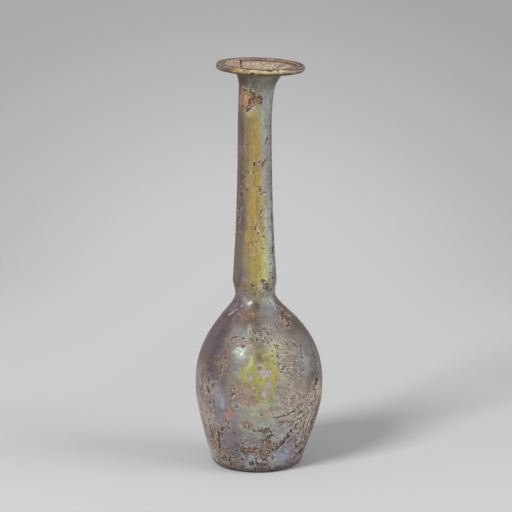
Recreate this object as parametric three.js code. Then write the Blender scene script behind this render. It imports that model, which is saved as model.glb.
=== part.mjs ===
// A free-blown glass perfume bottle: a bulb on a pushed-in foot, a long neck pinched at its root, and a flared
// rim whose edge is folded in. Centuries in the ground have grown a flaking film on its outside and a crust in
// its mouth. Millimetres, +Z up. The origin is on the table, under the middle of the bulb, and +X is the side
// towards which the rim drops.
import * as THREE from "three";

const { clamp, degToRad, lerp, mapLinear, smoothstep } = THREE.MathUtils;

// Driving dimensions. Every radius is of the finished outside, with the film on the glass, and each rise is
// the height of that level above the level named before it.
const foot = { edgeRadius: 13.6, ringWidth: 1.9, heelRadius: 3.4, wall: 2.4 };
const kicked = { height: 2.6, floorWall: 2.2 };
const belly = { rise: 30.5, radius: 23.4, wall: 1.4 };
const shoulder = { rise: 27.5, radius: 11.4 };
const waist = { rise: 6.2, radius: 7.25, wall: 2.2 };
const swell = { rise: 5.6, radius: 8 };
const neck = { rise: 58.2, radius: 6.14, wall: 1.5 };
const throat = { rise: 12, radius: 6.5, wall: 1.5 };
const flare = { rise: 6.6, radius: 10.8 };
const plate = { thickness: 1.1, radius: 16.05 };
const fold = { height: 1.1, width: 2.8, outerRound: 0.9, innerRound: 0.55 };
const scar = { radius: 5.6, width: 2, height: 0.8, round: 0.5 };
const film = { thickness: 0.25, gap: 0.05, footClearance: 0.35 };
const crust = { thickness: 0.3, boreMargin: 0.9 };

// How steeply the outside leans at the levels where it isn't upright.
const leanAngles = { heel: degToRad(17), shoulder: degToRad(43.5), throat: degToRad(5.7) };

// How far the maker's hand left it from true: the sideways drift of the axis, and the tilt of the rim.
const drift = { foot: -0.8, neck: -1.6, rim: 0.55 };
const rimTiltAngle = degToRad(2.1);

// Where the curves' handles lie, as shares of the rise or reach that each curve crosses, and where along a
// neighbouring level's rise each drift starts or ends.
const sideShares = [0.5, 0.28];
const upperShares = [0.4, 0.33];
const rootShares = [0.39, 0.26];
const swellShares = [0.38, 0.36];
const neckShares = [0.012, 0.62];
const throatShares = [0.42, 0.33];
const flareShares = [0.38, 0.58];
const driftShares = { footEnd: 0.8, neckStart: 0.54, neckEnd: 1.04, rimStart: 0.14 };

// Facets round the axis, and points along each curve.
const SIDES = 40;
const BODY_STEPS = { heel: 3, side: 5, upper: 6, root: 3 };
const NECK_STEPS = { swell: 3, tube: 6 };
const MOUTH_STEPS = { throat: 3, flare: 5, fold: 3 };

const quarter = Math.PI / 2;
const point = (radius, height) => new THREE.Vector2(radius, height);
const above = (from, level) => point(level.radius, from.y + level.rise);
const leaning = (from, angle, rise) => point(from.x + rise * Math.tan(angle), from.y + rise);

// A curve between two levels that leaves each at its lean, with its handles at two shares of the rise.
function sweep(from, fromLean, to, toLean, [startShare, endShare]) {
  const rise = to.y - from.y;
  const start = leaning(from, fromLean, rise * startShare);
  const end = leaning(to, toLean, -rise * endShare);
  return new THREE.CubicBezierCurve(from, start, end, to);
}

// An arc about a centre from one angle to another, counter-clockwise.
function arc(centre, radius, height, from, to) {
  return new THREE.EllipseCurve(centre.x, centre.y, radius, height, from, to);
}

// Samples curves that run end to end into stations, each a point and the outward normal there.
function stationsOf(...pairs) {
  const stations = [];
  pairs.forEach(([curve, steps], index) => {
    for (let i = index ? 1 : 0; i <= steps; i++) {
      const tangent = curve.getTangent(i / steps);
      stations.push({ at: curve.getPoint(i / steps), normal: point(tangent.y, -tangent.x) });
    }
  });
  return stations;
}

// The stations moved inwards by a depth, which is a number or a function of height.
function inset(stations, depth) {
  return stations.map(({ at, normal }) => {
    const amount = typeof depth === "function" ? depth(at.y) : depth;
    return at.clone().addScaledVector(normal, -amount);
  });
}

// The part of a rising outline between two heights, with an end point exactly on each.
function between(outline, low, high) {
  const crossing = (height) => {
    const next = outline.findIndex((p) => p.y >= height);
    if (next === -1) return point(outline.at(-1).x, height);
    if (next === 0) return point(outline[0].x, height);
    const [a, b] = [outline[next - 1], outline[next]];
    return point(mapLinear(height, a.y, b.y, a.x, b.x), height);
  };
  const inside = outline.filter((p) => p.y > low + film.gap && p.y < high - film.gap);
  return [crossing(low), ...inside, crossing(high)];
}

// Points of a shallow dome at some radii, from its apex on the axis out to its edge.
function dome(apexHeight, edgeHeight, radii) {
  return radii.map((radius) => {
    const share = radius / radii.at(-1);
    return point(radius, lerp(apexHeight, edgeHeight, share * share));
  });
}

function closed(points) {
  return [...points, points[0].clone()];
}

// The finished outside, level by level, from the standing ring up to the rim.
const heelCentre = point(foot.edgeRadius, foot.heelRadius);
const heel = arc(heelCentre, foot.heelRadius, foot.heelRadius, -quarter, -leanAngles.heel);
const heelAt = heel.getPoint(1);
const bellyAt = point(belly.radius, belly.rise);
const shoulderAt = above(bellyAt, shoulder);
const waistAt = above(shoulderAt, waist);
const swellAt = above(waistAt, swell);
const neckAt = above(swellAt, neck);
const throatAt = above(neckAt, throat);
const flareAt = above(throatAt, flare);
const plateTop = flareAt.y + plate.thickness;
const plateRoundX = plate.radius - fold.outerRound;

const flareReach = flareAt.x - throatAt.x;
const flareCurve = new THREE.CubicBezierCurve(
  throatAt,
  leaning(throatAt, leanAngles.throat, flare.rise * flareShares[0]),
  point(flareAt.x - flareReach * flareShares[1], flareAt.y),
  flareAt,
);
const underside = new THREE.LineCurve(flareAt, point(plateRoundX, flareAt.y));

const bodyStations = stationsOf(
  [heel, BODY_STEPS.heel],
  [sweep(heelAt, leanAngles.heel, bellyAt, 0, sideShares), BODY_STEPS.side],
  [sweep(bellyAt, 0, shoulderAt, -leanAngles.shoulder, upperShares), BODY_STEPS.upper],
  [sweep(shoulderAt, -leanAngles.shoulder, waistAt, 0, rootShares), BODY_STEPS.root],
);
const neckStations = stationsOf(
  [sweep(waistAt, 0, swellAt, 0, swellShares), NECK_STEPS.swell],
  [sweep(swellAt, 0, neckAt, 0, neckShares), NECK_STEPS.tube],
);
const mouthStations = stationsOf(
  [sweep(neckAt, 0, throatAt, leanAngles.throat, throatShares), MOUTH_STEPS.throat],
  [flareCurve, MOUTH_STEPS.flare],
  [underside, 1],
);

// How deep the inner wall lies under the finished outside, by height.
const filmDepth = film.thickness + film.gap;
function cavityDepth(height) {
  const marks = [
    [0, foot.wall],
    [bellyAt.y, belly.wall],
    [waistAt.y, waist.wall],
    [neckAt.y, neck.wall],
    [throatAt.y, throat.wall],
    [flareAt.y, plate.thickness - filmDepth],
  ];
  const found = marks.findIndex(([level]) => level >= height);
  const next = found < 0 ? marks.length - 1 : Math.max(found, 1);
  const [[low, lowWall], [high, highWall]] = [marks[next - 1], marks[next]];
  return filmDepth + lerp(lowWall, highWall, clamp((height - low) / (high - low), 0, 1));
}

// Glass of the foot: a floor pushed up into a kick, inside the ring that the bottle stands on.
const ringInner = foot.edgeRadius - foot.ringWidth;
const scarInner = scar.radius - scar.width;
const kick = dome(kicked.height, 0, [0, scarInner, scar.radius, (scar.radius + ringInner) / 2, ringInner]);
const footSeam = foot.wall;
function footProfile() {
  const outside = between(inset(bodyStations, filmDepth), 0, footSeam);
  const floorEdge = between(inset(bodyStations, cavityDepth), footSeam, bellyAt.y)[0].x;
  const floorRadii = [0, floorEdge / 3, (floorEdge * 2) / 3, floorEdge];
  const floorTop = dome(kicked.height + kicked.floorWall, footSeam, floorRadii);
  return [...kick, ...outside, ...floorTop.reverse()];
}

function bulbProfile() {
  const outside = between(inset(bodyStations, filmDepth), footSeam, waistAt.y);
  const inside = between(inset(bodyStations, cavityDepth), footSeam, waistAt.y);
  return closed([...outside, ...inside.reverse()]);
}

function neckProfile() {
  return closed([...inset(neckStations, filmDepth), ...inset(neckStations, cavityDepth).reverse()]);
}

// Glass of the mouth: the throat, the flare and the flat plate that carries the folded edge.
function mouthProfile() {
  const plateEdge = point(plateRoundX, plateTop);
  const plateRound = arc(plateEdge, fold.outerRound, plate.thickness - filmDepth, -quarter, 0);
  return closed([
    ...inset(mouthStations, filmDepth),
    ...plateRound.getPoints(MOUTH_STEPS.fold).slice(1),
    ...inset(mouthStations, cavityDepth).reverse(),
  ]);
}

// The edge of the rim, turned over and pressed down on the plate while hot.
const foldInner = plate.radius - fold.width;
function foldProfile() {
  const outer = arc(point(plateRoundX, plateTop), fold.outerRound, fold.height, 0, quarter);
  const innerCentre = point(foldInner + fold.innerRound, plateTop + fold.height / 2);
  const inner = arc(innerCentre, fold.innerRound, fold.height / 2, quarter, 3 * quarter);
  return closed([...outer.getPoints(MOUTH_STEPS.fold), ...inner.getPoints(MOUTH_STEPS.fold)]);
}

// A ring of glass left in the kick where the maker's iron was snapped off. Its top lies along the kick.
function scarProfile() {
  const [innerTop, outerTop] = kick.slice(1, 3).map((p) => point(p.x, p.y - film.gap));
  const low = (innerTop.y + outerTop.y) / 2 - scar.height;
  return closed([
    innerTop,
    point(innerTop.x + scar.round, low + scar.round / 2),
    point(outerTop.x - scar.round, low),
    outerTop,
  ]);
}

// A skin between the finished outside and the glass, from one height to another.
function filmProfile(stations, low, high) {
  const outside = between(inset(stations, 0), low, high);
  const inside = between(inset(stations, film.thickness), low, high);
  return closed([...outside, ...inside.reverse()]);
}

function rimFilmProfile() {
  return closed([...inset(mouthStations, 0), ...inset(mouthStations, film.thickness).reverse()]);
}

// Soil and salts on the inside of the mouth, from the folded edge in and down to a margin outside the bore.
const boreRadius = throat.radius - filmDepth - throat.wall;
function crustProfile() {
  const layer = (depth) => {
    const lining = inset(mouthStations, (height) => cavityDepth(height) + depth);
    const covered = lining.filter((p) => p.x > boreRadius + crust.boreMargin && p.x < foldInner);
    return [...covered, point(foldInner - film.gap, plateTop + depth)];
  };
  return closed([...layer(film.gap), ...layer(film.gap + crust.thickness).reverse()]);
}

// The maker's hand: shifts each level of the bottle sideways, and drops the rim towards +X.
function warp(x, y, z) {
  const footShare = 1 - smoothstep(z, 0, bellyAt.y * driftShares.footEnd);
  const neckStart = lerp(waistAt.y, bellyAt.y, driftShares.neckStart);
  const neckEnd = lerp(waistAt.y, swellAt.y, driftShares.neckEnd);
  const rimStart = neckAt.y - neck.rise * driftShares.rimStart;
  const rimShare = clamp((z - rimStart) / (plateTop - rimStart), 0, 1) ** 3;
  const neckShare = smoothstep(z, neckStart, neckEnd) - rimShare;
  const shift = drift.foot * footShare + drift.neck * neckShare + drift.rim * rimShare;
  const drop = Math.tan(rimTiltAngle) * x * smoothstep(z, neckAt.y, flareAt.y);
  return [x + shift, y, z - drop];
}

// A solid of revolution about +Z, warped by hand.
function turned(name, profile, material) {
  const geometry = new THREE.LatheGeometry(profile, SIDES);
  geometry.rotateX(quarter);
  const positions = geometry.getAttribute("position");
  for (let i = 0; i < positions.count; i++) {
    positions.setXYZ(i, ...warp(positions.getX(i), positions.getY(i), positions.getZ(i)));
  }
  geometry.computeVertexNormals();
  const mesh = new THREE.Mesh(geometry, material);
  mesh.name = name;
  return mesh;
}

const glass = new THREE.MeshStandardMaterial({ color: 0x8a6f58, roughness: 0.45, metalness: 0 });
const filmFinish = new THREE.MeshStandardMaterial({ color: 0x8d8f8a, roughness: 0.35, metalness: 0.35 });
const crustFinish = new THREE.MeshStandardMaterial({ color: 0xb9aa95, roughness: 0.85, metalness: 0 });

const bottle = new THREE.Group();
bottle.add(
  turned("foot", footProfile(), glass),
  turned("bulb", bulbProfile(), glass),
  turned("neck", neckProfile(), glass),
  turned("mouth", mouthProfile(), glass),
  turned("folded_rim", foldProfile(), glass),
  turned("pontil_scar", scarProfile(), glass),
  turned("film_on_bulb", filmProfile(bodyStations, film.footClearance, waistAt.y), filmFinish),
  turned("film_on_neck", filmProfile(neckStations, waistAt.y, neckAt.y), filmFinish),
  turned("film_under_rim", rimFilmProfile(), filmFinish),
  turned("crust_in_mouth", crustProfile(), crustFinish),
);

export default bottle;
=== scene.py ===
# %% [markdown]
# A blown glass perfume bottle, long buried
#
# The bottle was blown from one gather of brown glass: a bulb on a pushed-in foot, a long neck pinched at
# its root, and a wide rim whose edge was folded in while hot. In the ground its outside grew a thin film
# that shimmers and flakes, and its mouth a dry crust. This lesson builds the glass first, then the film
# with its lost flakes, then the crust, and stains each of them.

import math
import random

import bpy
import numpy as np
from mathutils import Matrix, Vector, noise
from mathutils.geometry import interpolate_bezier


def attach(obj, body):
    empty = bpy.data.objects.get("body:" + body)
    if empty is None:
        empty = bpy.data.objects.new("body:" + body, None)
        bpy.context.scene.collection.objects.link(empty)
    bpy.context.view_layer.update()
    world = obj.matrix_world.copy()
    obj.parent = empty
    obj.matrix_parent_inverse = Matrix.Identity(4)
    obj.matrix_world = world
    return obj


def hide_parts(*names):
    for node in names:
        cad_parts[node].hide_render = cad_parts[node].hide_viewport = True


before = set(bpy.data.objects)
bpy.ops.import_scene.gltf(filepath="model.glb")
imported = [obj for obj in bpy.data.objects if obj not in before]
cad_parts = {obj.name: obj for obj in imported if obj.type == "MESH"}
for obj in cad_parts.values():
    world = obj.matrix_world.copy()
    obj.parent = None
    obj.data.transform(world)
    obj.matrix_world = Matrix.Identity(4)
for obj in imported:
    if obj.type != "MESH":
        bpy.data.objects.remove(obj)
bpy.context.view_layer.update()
MM = 0.001
print("nodes:", ", ".join(sorted(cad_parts)))

# %% [markdown]
# The camera
#
# The eye is a metre in front of the bottle and looks down on it by twelve degrees, so the rim is seen as a
# thin ellipse and the foot as a wider one. A long lens keeps the neck straight. The bottle's axis stands
# three pixels right of the picture's middle, which the lens shift gives without turning the camera.

# %% Place the camera
EYE = Vector((0, -1000, 294.4)) * MM
AIM = Vector((0, 0, 77.94)) * MM
FRAME_PIXELS = 512
FOCAL_PIXELS = 2800.8
AXIS_PIXEL = 259

bpy.ops.object.camera_add(location=EYE, rotation=(AIM - EYE).to_track_quat("-Z", "Y").to_euler())
camera = bpy.context.object
camera.name = "photo_camera"
camera.data.lens = camera.data.sensor_width * FOCAL_PIXELS / FRAME_PIXELS
camera.data.shift_x = (FRAME_PIXELS / 2 - AXIS_PIXEL) / FRAME_PIXELS
bpy.context.scene.camera = camera
print(f"lens {camera.data.lens:.0f} mm, shift {camera.data.shift_x:.4f}")

# %% [markdown]
# The outline
#
# A blown bottle is round, so half of its outline says almost everything. The outline runs through a few
# levels where the maker's tool or breath left its mark: heel, belly, shoulder, waist, swell, neck, throat
# and flare. Between two levels it is one Bezier stretch that leaves each level at that level's lean. A mesh
# outline with hundreds of points could be typed in instead, but nobody could change it afterwards.

# %% The levels, as radius and height in millimetres
HEEL_CENTRE = (13.6, 3.4)
HEEL_RADIUS = 3.4
HEEL_LEAN = math.radians(17)
BELLY = (23.4, 30.5)
SHOULDER = (11.4, 58.0)
SHOULDER_LEAN = math.radians(-43.5)
WAIST = (7.25, 64.2)
SWELL = (8.0, 69.8)
NECK = (6.14, 128.0)
THROAT = (6.5, 140.0)
THROAT_LEAN = math.radians(5.7)
FLARE = (10.8, 146.6)
LIP_CENTRE = (15.15, 147.7)
LIP_ROUND = (0.9, 1.1)
FOLD_CENTRE = (13.8, 148.25)
FOLD_ROUND = (0.55, 0.55)

SIDE_SHARES = (0.5, 0.28)
UPPER_SHARES = (0.4, 0.33)
ROOT_SHARES = (0.39, 0.26)
SWELL_SHARES = (0.38, 0.36)
NECK_SHARES = (0.012, 0.62)
THROAT_SHARES = (0.42, 0.33)
FLARE_SHARES = (0.38, 0.58)


def leaning(start, lean, rise):
    """The point reached from start by rising along a lean."""
    return (start[0] + rise * math.tan(lean), start[1] + rise)


def sweep(start, start_lean, end, end_lean, shares):
    """A Bezier stretch between two levels, with its handles at shares of the rise."""
    rise = end[1] - start[1]
    return (
        start,
        leaning(start, start_lean, rise * shares[0]),
        leaning(end, end_lean, -rise * shares[1]),
        end,
    )


def arc(centre, rounds, start, end):
    """A Bezier stretch along an ellipse from one angle to another, in degrees, at most a quarter turn."""
    a, b = math.radians(start), math.radians(end)
    pull = 4 / 3 * math.tan((b - a) / 4)

    def at(angle, along):
        x = math.cos(angle) - along * math.sin(angle)
        y = math.sin(angle) + along * math.cos(angle)
        return (centre[0] + rounds[0] * x, centre[1] + rounds[1] * y)

    return (at(a, 0), at(a, pull), at(b, -pull), at(b, 0))


def line(start, end):
    """A straight stretch, written as a Bezier one."""
    third = [(s + (e - s) / 3, s + (e - s) * 2 / 3) for s, e in zip(start, end)]
    return (start, (third[0][0], third[1][0]), (third[0][1], third[1][1]), end)


heel = arc(HEEL_CENTRE, (HEEL_RADIUS, HEEL_RADIUS), -90, -math.degrees(HEEL_LEAN))
BODY = [
    heel,
    sweep(heel[-1], HEEL_LEAN, BELLY, 0, SIDE_SHARES),
    sweep(BELLY, 0, SHOULDER, SHOULDER_LEAN, UPPER_SHARES),
    sweep(SHOULDER, SHOULDER_LEAN, WAIST, 0, ROOT_SHARES),
]
TUBE = [
    sweep(WAIST, 0, SWELL, 0, SWELL_SHARES),
    sweep(SWELL, 0, NECK, 0, NECK_SHARES),
]
flare_rise = FLARE[1] - THROAT[1]
flare_reach = FLARE[0] - THROAT[0]
FUNNEL = [
    sweep(NECK, 0, THROAT, THROAT_LEAN, THROAT_SHARES),
    (
        THROAT,
        leaning(THROAT, THROAT_LEAN, flare_rise * FLARE_SHARES[0]),
        (FLARE[0] - flare_reach * FLARE_SHARES[1], FLARE[1]),
        FLARE,
    ),
    line(FLARE, (LIP_CENTRE[0], FLARE[1])),
]
LIP = [arc(LIP_CENTRE, LIP_ROUND, -90, 0), arc(LIP_CENTRE, LIP_ROUND, 0, 90)]
print(f"outline: {len(BODY + TUBE + FUNNEL + LIP)} stretches from the heel to the lip")

# %% Walk along the outline in even steps
FINE_STEPS = 400


def trace(stretches, step):
    """Points along some stretches that join end to end, about a step apart, in millimetres."""
    points = []
    for stretch in stretches:
        knots = [Vector((radius, 0, height)) for radius, height in stretch]
        fine = np.array([(p.x, p.z) for p in interpolate_bezier(*knots, FINE_STEPS)])
        run = np.concatenate([[0], np.cumsum(np.hypot(*np.diff(fine, axis=0).T))])
        count = max(round(run[-1] / step), 1)
        even = np.linspace(0, run[-1], count + 1)
        walked = np.stack([np.interp(even, run, fine[:, 0]), np.interp(even, run, fine[:, 1])], axis=1)
        points.append(walked if not points else walked[1:])
    return np.concatenate(points)


def inset(points, depth):
    """The same outline moved towards the inside of the bottle by a depth, or by one depth for each point."""
    along = np.gradient(points, axis=0)
    along /= np.hypot(*along.T)[:, None]
    outwards = np.stack([along[:, 1], -along[:, 0]], axis=1)
    return points - outwards * np.broadcast_to(depth, len(points))[:, None]


SEAM_MARGIN = 0.1
MEASURING_STEP = 0.5


def between(points, low, high):
    """The part of a rising outline between two heights, with an end point exactly on each."""
    ends = np.interp([low, high], points[:, 1], points[:, 0])
    kept = points[(points[:, 1] > low + SEAM_MARGIN) & (points[:, 1] < high - SEAM_MARGIN)]
    return np.concatenate([[(ends[0], low)], kept, [(ends[1], high)]])


print("the belly is widest at", trace(BODY, MEASURING_STEP)[:, 0].max().round(2), "mm from the axis")

# %% [markdown]
# From an outline to a solid
#
# A glassworker keeps the gather turning, and here Spin does the same. The outline starts as one vertex,
# which is extruded from point to point, and the finished line is spun round the axis. The seam where the
# last step meets the first is merged, and the normals are then turned outwards.

# %% Draw an outline and spin it
MERGE_DISTANCE = 0.002 * MM


def pick(piece):
    """Makes one piece the only selected one, and the active one."""
    bpy.ops.object.select_all(action="DESELECT")
    piece.select_set(True)
    bpy.context.view_layer.objects.active = piece


def turned(name, points, sides):
    """A round piece: its half outline, in millimetres, is extruded point by point and spun about +Z."""
    bpy.ops.object.select_all(action="DESELECT")
    bpy.ops.mesh.primitive_plane_add(size=MM)
    piece = bpy.context.object
    piece.name = name
    bpy.ops.object.mode_set(mode="EDIT")
    bpy.ops.mesh.select_all(action="SELECT")
    bpy.ops.mesh.merge(type="CENTER")
    route = [Vector((radius, 0, height)) * MM for radius, height in points]
    bpy.ops.transform.translate(value=route[0])
    for here, there in zip(route, route[1:]):
        bpy.ops.mesh.extrude_region_move(TRANSFORM_OT_translate={"value": there - here})
    bpy.ops.mesh.select_all(action="SELECT")
    bpy.ops.mesh.spin(steps=sides, angle=math.tau, center=(0, 0, 0), axis=(0, 0, 1))
    bpy.ops.mesh.select_all(action="SELECT")
    bpy.ops.mesh.remove_doubles(threshold=MERGE_DISTANCE)
    bpy.ops.mesh.normals_make_consistent(inside=False)
    bpy.ops.object.mode_set(mode="OBJECT")
    return piece


def closed(outside, inside):
    """A closed outline from an outside and an inside that both rise."""
    return np.concatenate([outside, inside[::-1], outside[:1]])


# %% Read and move the vertices
def places_of(piece):
    """Every vertex's place in millimetres."""
    flat = np.empty(len(piece.data.vertices) * 3)
    piece.data.vertices.foreach_get("co", flat)
    return flat.reshape(-1, 3) / MM


def normals_of(piece):
    flat = np.empty(len(piece.data.vertices) * 3)
    piece.data.vertex_normals.foreach_get("vector", flat)
    return flat.reshape(-1, 3)


def move_to(piece, places):
    piece.data.vertices.foreach_set("co", (places * MM).ravel())
    piece.data.update()


def azimuths(places):
    """Degrees round the axis: 0 at the front, positive to the right."""
    return np.degrees(np.arctan2(places[:, 0], -places[:, 1]))


def flip(piece):
    """Turns every face of a piece over."""
    pick(piece)
    bpy.ops.object.mode_set(mode="EDIT")
    bpy.ops.mesh.select_all(action="SELECT")
    bpy.ops.mesh.flip_normals()
    bpy.ops.object.mode_set(mode="OBJECT")


def turn_outwards(piece):
    """Flips an open skin whose normals came out pointing at the axis."""
    places, normals = places_of(piece), normals_of(piece)
    if np.mean(np.sum(places[:, :2] * normals[:, :2], axis=1)) < 0:
        flip(piece)


def keep(piece, name, values):
    """Stores one number for each vertex, which the finish reads later."""
    attribute = piece.data.attributes.new(name, "FLOAT", "POINT")
    attribute.data.foreach_set("value", np.asarray(values, np.float32))


def keep_colour(piece, name, colours):
    attribute = piece.data.attributes.new(name, "FLOAT_COLOR", "POINT")
    with_alpha = np.concatenate([colours, np.ones((len(colours), 1))], axis=1)
    attribute.data.foreach_set("color", with_alpha.astype(np.float32).ravel())


# %% [markdown]
# The maker's hand
#
# No blown bottle is true. The foot was pressed a little off centre, the neck leans off the bulb's axis
# where it was pulled, and the rim drops to the right. The same small bends move every piece, so glass, film
# and crust stay together.

# %% Bend every piece alike
FOOT_DRIFT = -0.8
NECK_DRIFT = -1.6
RIM_DRIFT = 0.55
RIM_TILT = math.radians(2.1)
FOOT_DRIFT_END = 24.4
NECK_DRIFT_START = 46.0
NECK_DRIFT_END = 70.0
RIM_DRIFT_START = 119.85
RIM_DRIFT_POWER = 3


def ease(value, start, end):
    """0 before start, 1 after end, and a smooth rise between them."""
    share = np.clip((value - start) / (end - start), 0, 1)
    return share * share * (3 - 2 * share)


def bend_by_hand(piece):
    """Moves a piece's foot, neck and rim as the maker's hand moved them."""
    x, y, z = places_of(piece).T
    rim_share = np.clip((z - RIM_DRIFT_START) / (LIP_CENTRE[1] - RIM_DRIFT_START), 0, 1) ** RIM_DRIFT_POWER
    neck_share = ease(z, NECK_DRIFT_START, NECK_DRIFT_END) - rim_share
    shift = FOOT_DRIFT * (1 - ease(z, 0, FOOT_DRIFT_END)) + NECK_DRIFT * neck_share + RIM_DRIFT * rim_share
    drop = math.tan(RIM_TILT) * x * ease(z, NECK[1], FLARE[1])
    move_to(piece, np.stack([x + shift, y, z - drop], axis=1))


print(f"the rim drops {math.tan(RIM_TILT) * 2 * (LIP_CENTRE[0] + LIP_ROUND[0]):.1f} mm from side to side")

# %% A smooth random height
NOISE_STRIDES = (17.3, 5.1, 9.7)
NOISE_ROUGHNESS = 0.7
NOISE_REFINEMENT = 2.1
NOISE_OCTAVES = 3
NOISE_REACH = 1.6


def wander(places, size, seed):
    """A smooth random height for each place, about -1 to 1, with swells of a given size in millimetres."""
    start = Vector([seed * stride for stride in NOISE_STRIDES])
    heights = [
        noise.fractal(Vector(place) / size + start, NOISE_ROUGHNESS, NOISE_REFINEMENT, NOISE_OCTAVES)
        for place in places
    ]
    return np.array(heights) * NOISE_REACH


# %% [markdown]
# The glass
#
# The glass is 1.4 mm thick in the belly and up to 2.4 mm in the foot. It shows only where the film is lost,
# and inside the mouth, but each worked region is a full piece with its inner wall: foot, bulb, neck, mouth,
# the folded edge and the scar where the iron was snapped off. Its skin lies a little under the film's,
# because decay has eaten it.

# %% Wall thickness by height
ETCHED = 0.42
WALL_MARKS = ((0, 2.4), (30.5, 1.4), (64.2, 2.2), (128, 1.5), (140, 1.5), (146.6, 0.8))
WALL_BACKING = 0.3
GLASS_STEP = 0.8


def cavity_depth(points):
    """How far below the outline the inner wall lies at each point."""
    heights, walls = zip(*WALL_MARKS)
    return WALL_BACKING + np.interp(points[:, 1], heights, walls)


body = trace(BODY, GLASS_STEP)
tube = trace(TUBE, GLASS_STEP)
funnel = trace(FUNNEL, GLASS_STEP / 2)
body_inside = inset(body, cavity_depth(body))
print(f"the belly is {2 * body_inside[:, 0].max():.1f} mm wide inside")

# %% Outlines of the foot and the bulb
FOOT_SEAM = 2.4
RING_INNER = 11.7
KICK_HEIGHT = 2.6
KICK_FLOOR = 2.2
DOME_POINTS = 14


def dome(apex, edge, radius):
    """Points of a shallow dome from the axis out to its edge."""
    radii = np.linspace(0, radius, DOME_POINTS)
    return np.stack([radii, apex + (edge - apex) * (radii / radius) ** 2], axis=1)


floor_edge = np.interp(FOOT_SEAM, body_inside[:, 1], body_inside[:, 0])
kick = dome(KICK_HEIGHT, 0, RING_INNER)
foot_outside = between(inset(body, ETCHED), 0, FOOT_SEAM)
foot_floor = dome(KICK_HEIGHT + KICK_FLOOR, FOOT_SEAM, floor_edge)
foot_outline = np.concatenate([kick, foot_outside, foot_floor[::-1]])
bulb_outline = closed(
    between(inset(body, ETCHED), FOOT_SEAM, WAIST[1]),
    between(body_inside, FOOT_SEAM, WAIST[1]),
)
print(len(foot_outline), "points round the foot and", len(bulb_outline), "round the bulb's wall")

# %% Outlines of the neck, the mouth and the folded edge
PLATE_STEP = GLASS_STEP / 4
FOLD_STEP = GLASS_STEP / 5

neck_outline = closed(inset(tube, ETCHED), inset(tube, cavity_depth(tube)))
plate_round = arc(LIP_CENTRE, (LIP_ROUND[0] - ETCHED, LIP_ROUND[1] - ETCHED), -90, 0)
mouth_outline = closed(
    np.concatenate([inset(funnel, ETCHED), trace([plate_round], PLATE_STEP)[1:]]),
    inset(funnel, cavity_depth(funnel)),
)
fold_outer = arc(LIP_CENTRE, (LIP_ROUND[0] - ETCHED, LIP_ROUND[1] - ETCHED / 2), 0, 90)
fold_inner = [arc(FOLD_CENTRE, FOLD_ROUND, 90, 180), arc(FOLD_CENTRE, FOLD_ROUND, 180, 270)]
fold_outline = np.concatenate([trace([fold_outer], FOLD_STEP), trace(fold_inner, FOLD_STEP)])
fold_outline = np.concatenate([fold_outline, fold_outline[:1]])
print(len(mouth_outline), "points round the mouth and", len(fold_outline), "round the folded edge")

# %% Outline of the scar in the kick
SCAR_RADII = (3.6, 5.6)
SCAR_HEIGHT = 0.8
SCAR_SUNK = 0.05
SCAR_FULLNESS = 0.6

scar_ring = np.linspace(*SCAR_RADII, DOME_POINTS)
scar_top = KICK_HEIGHT * (1 - (scar_ring / RING_INNER) ** 2) - SCAR_SUNK
scar_swell = SCAR_HEIGHT * np.sin(np.linspace(0, math.pi, DOME_POINTS)) ** SCAR_FULLNESS
scar_outline = closed(np.stack([scar_ring, scar_top - scar_swell], 1), np.stack([scar_ring, scar_top], 1))
print(f"the scar hangs {scar_swell.max():.1f} mm below the kick")

# %% Spin the six pieces of glass
FOOT_SIDES = 120
BULB_GLASS_SIDES = 180
NECK_GLASS_SIDES = 90
MOUTH_SIDES = 150
FOLD_SIDES = 200
SCAR_SIDES = 72

GLASS_PIECES = {
    "foot": (foot_outline, FOOT_SIDES),
    "bulb": (bulb_outline, BULB_GLASS_SIDES),
    "neck": (neck_outline, NECK_GLASS_SIDES),
    "mouth": (mouth_outline, MOUTH_SIDES),
    "folded_rim": (fold_outline, FOLD_SIDES),
    "pontil_scar": (scar_outline, SCAR_SIDES),
}
glass = {node: turned("glass_" + node, *shape) for node, shape in GLASS_PIECES.items()}
for node, piece in glass.items():
    print(f"{piece.name}: {len(piece.data.polygons)} faces")

# %% Pit the glass
PIT_DEPTH = 0.06
PIT_SIZE = 1.3
PIT_SEED = 3
UNEVEN = {"folded_rim": (0.08, 5, 4), "pontil_scar": (0.12, 1.1, 5)}

for node, piece in glass.items():
    places = places_of(piece)
    pitted = -PIT_DEPTH * np.abs(wander(places, PIT_SIZE, PIT_SEED))
    if node in UNEVEN:
        height, size, seed = UNEVEN[node]
        pitted += height * wander(places, size, seed)
    move_to(piece, places + normals_of(piece) * pitted[:, None])
    bend_by_hand(piece)
    pick(piece)
    bpy.ops.object.shade_smooth()
    print(f"{piece.name}: pits up to {-pitted.min():.2f} mm deep")
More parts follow.
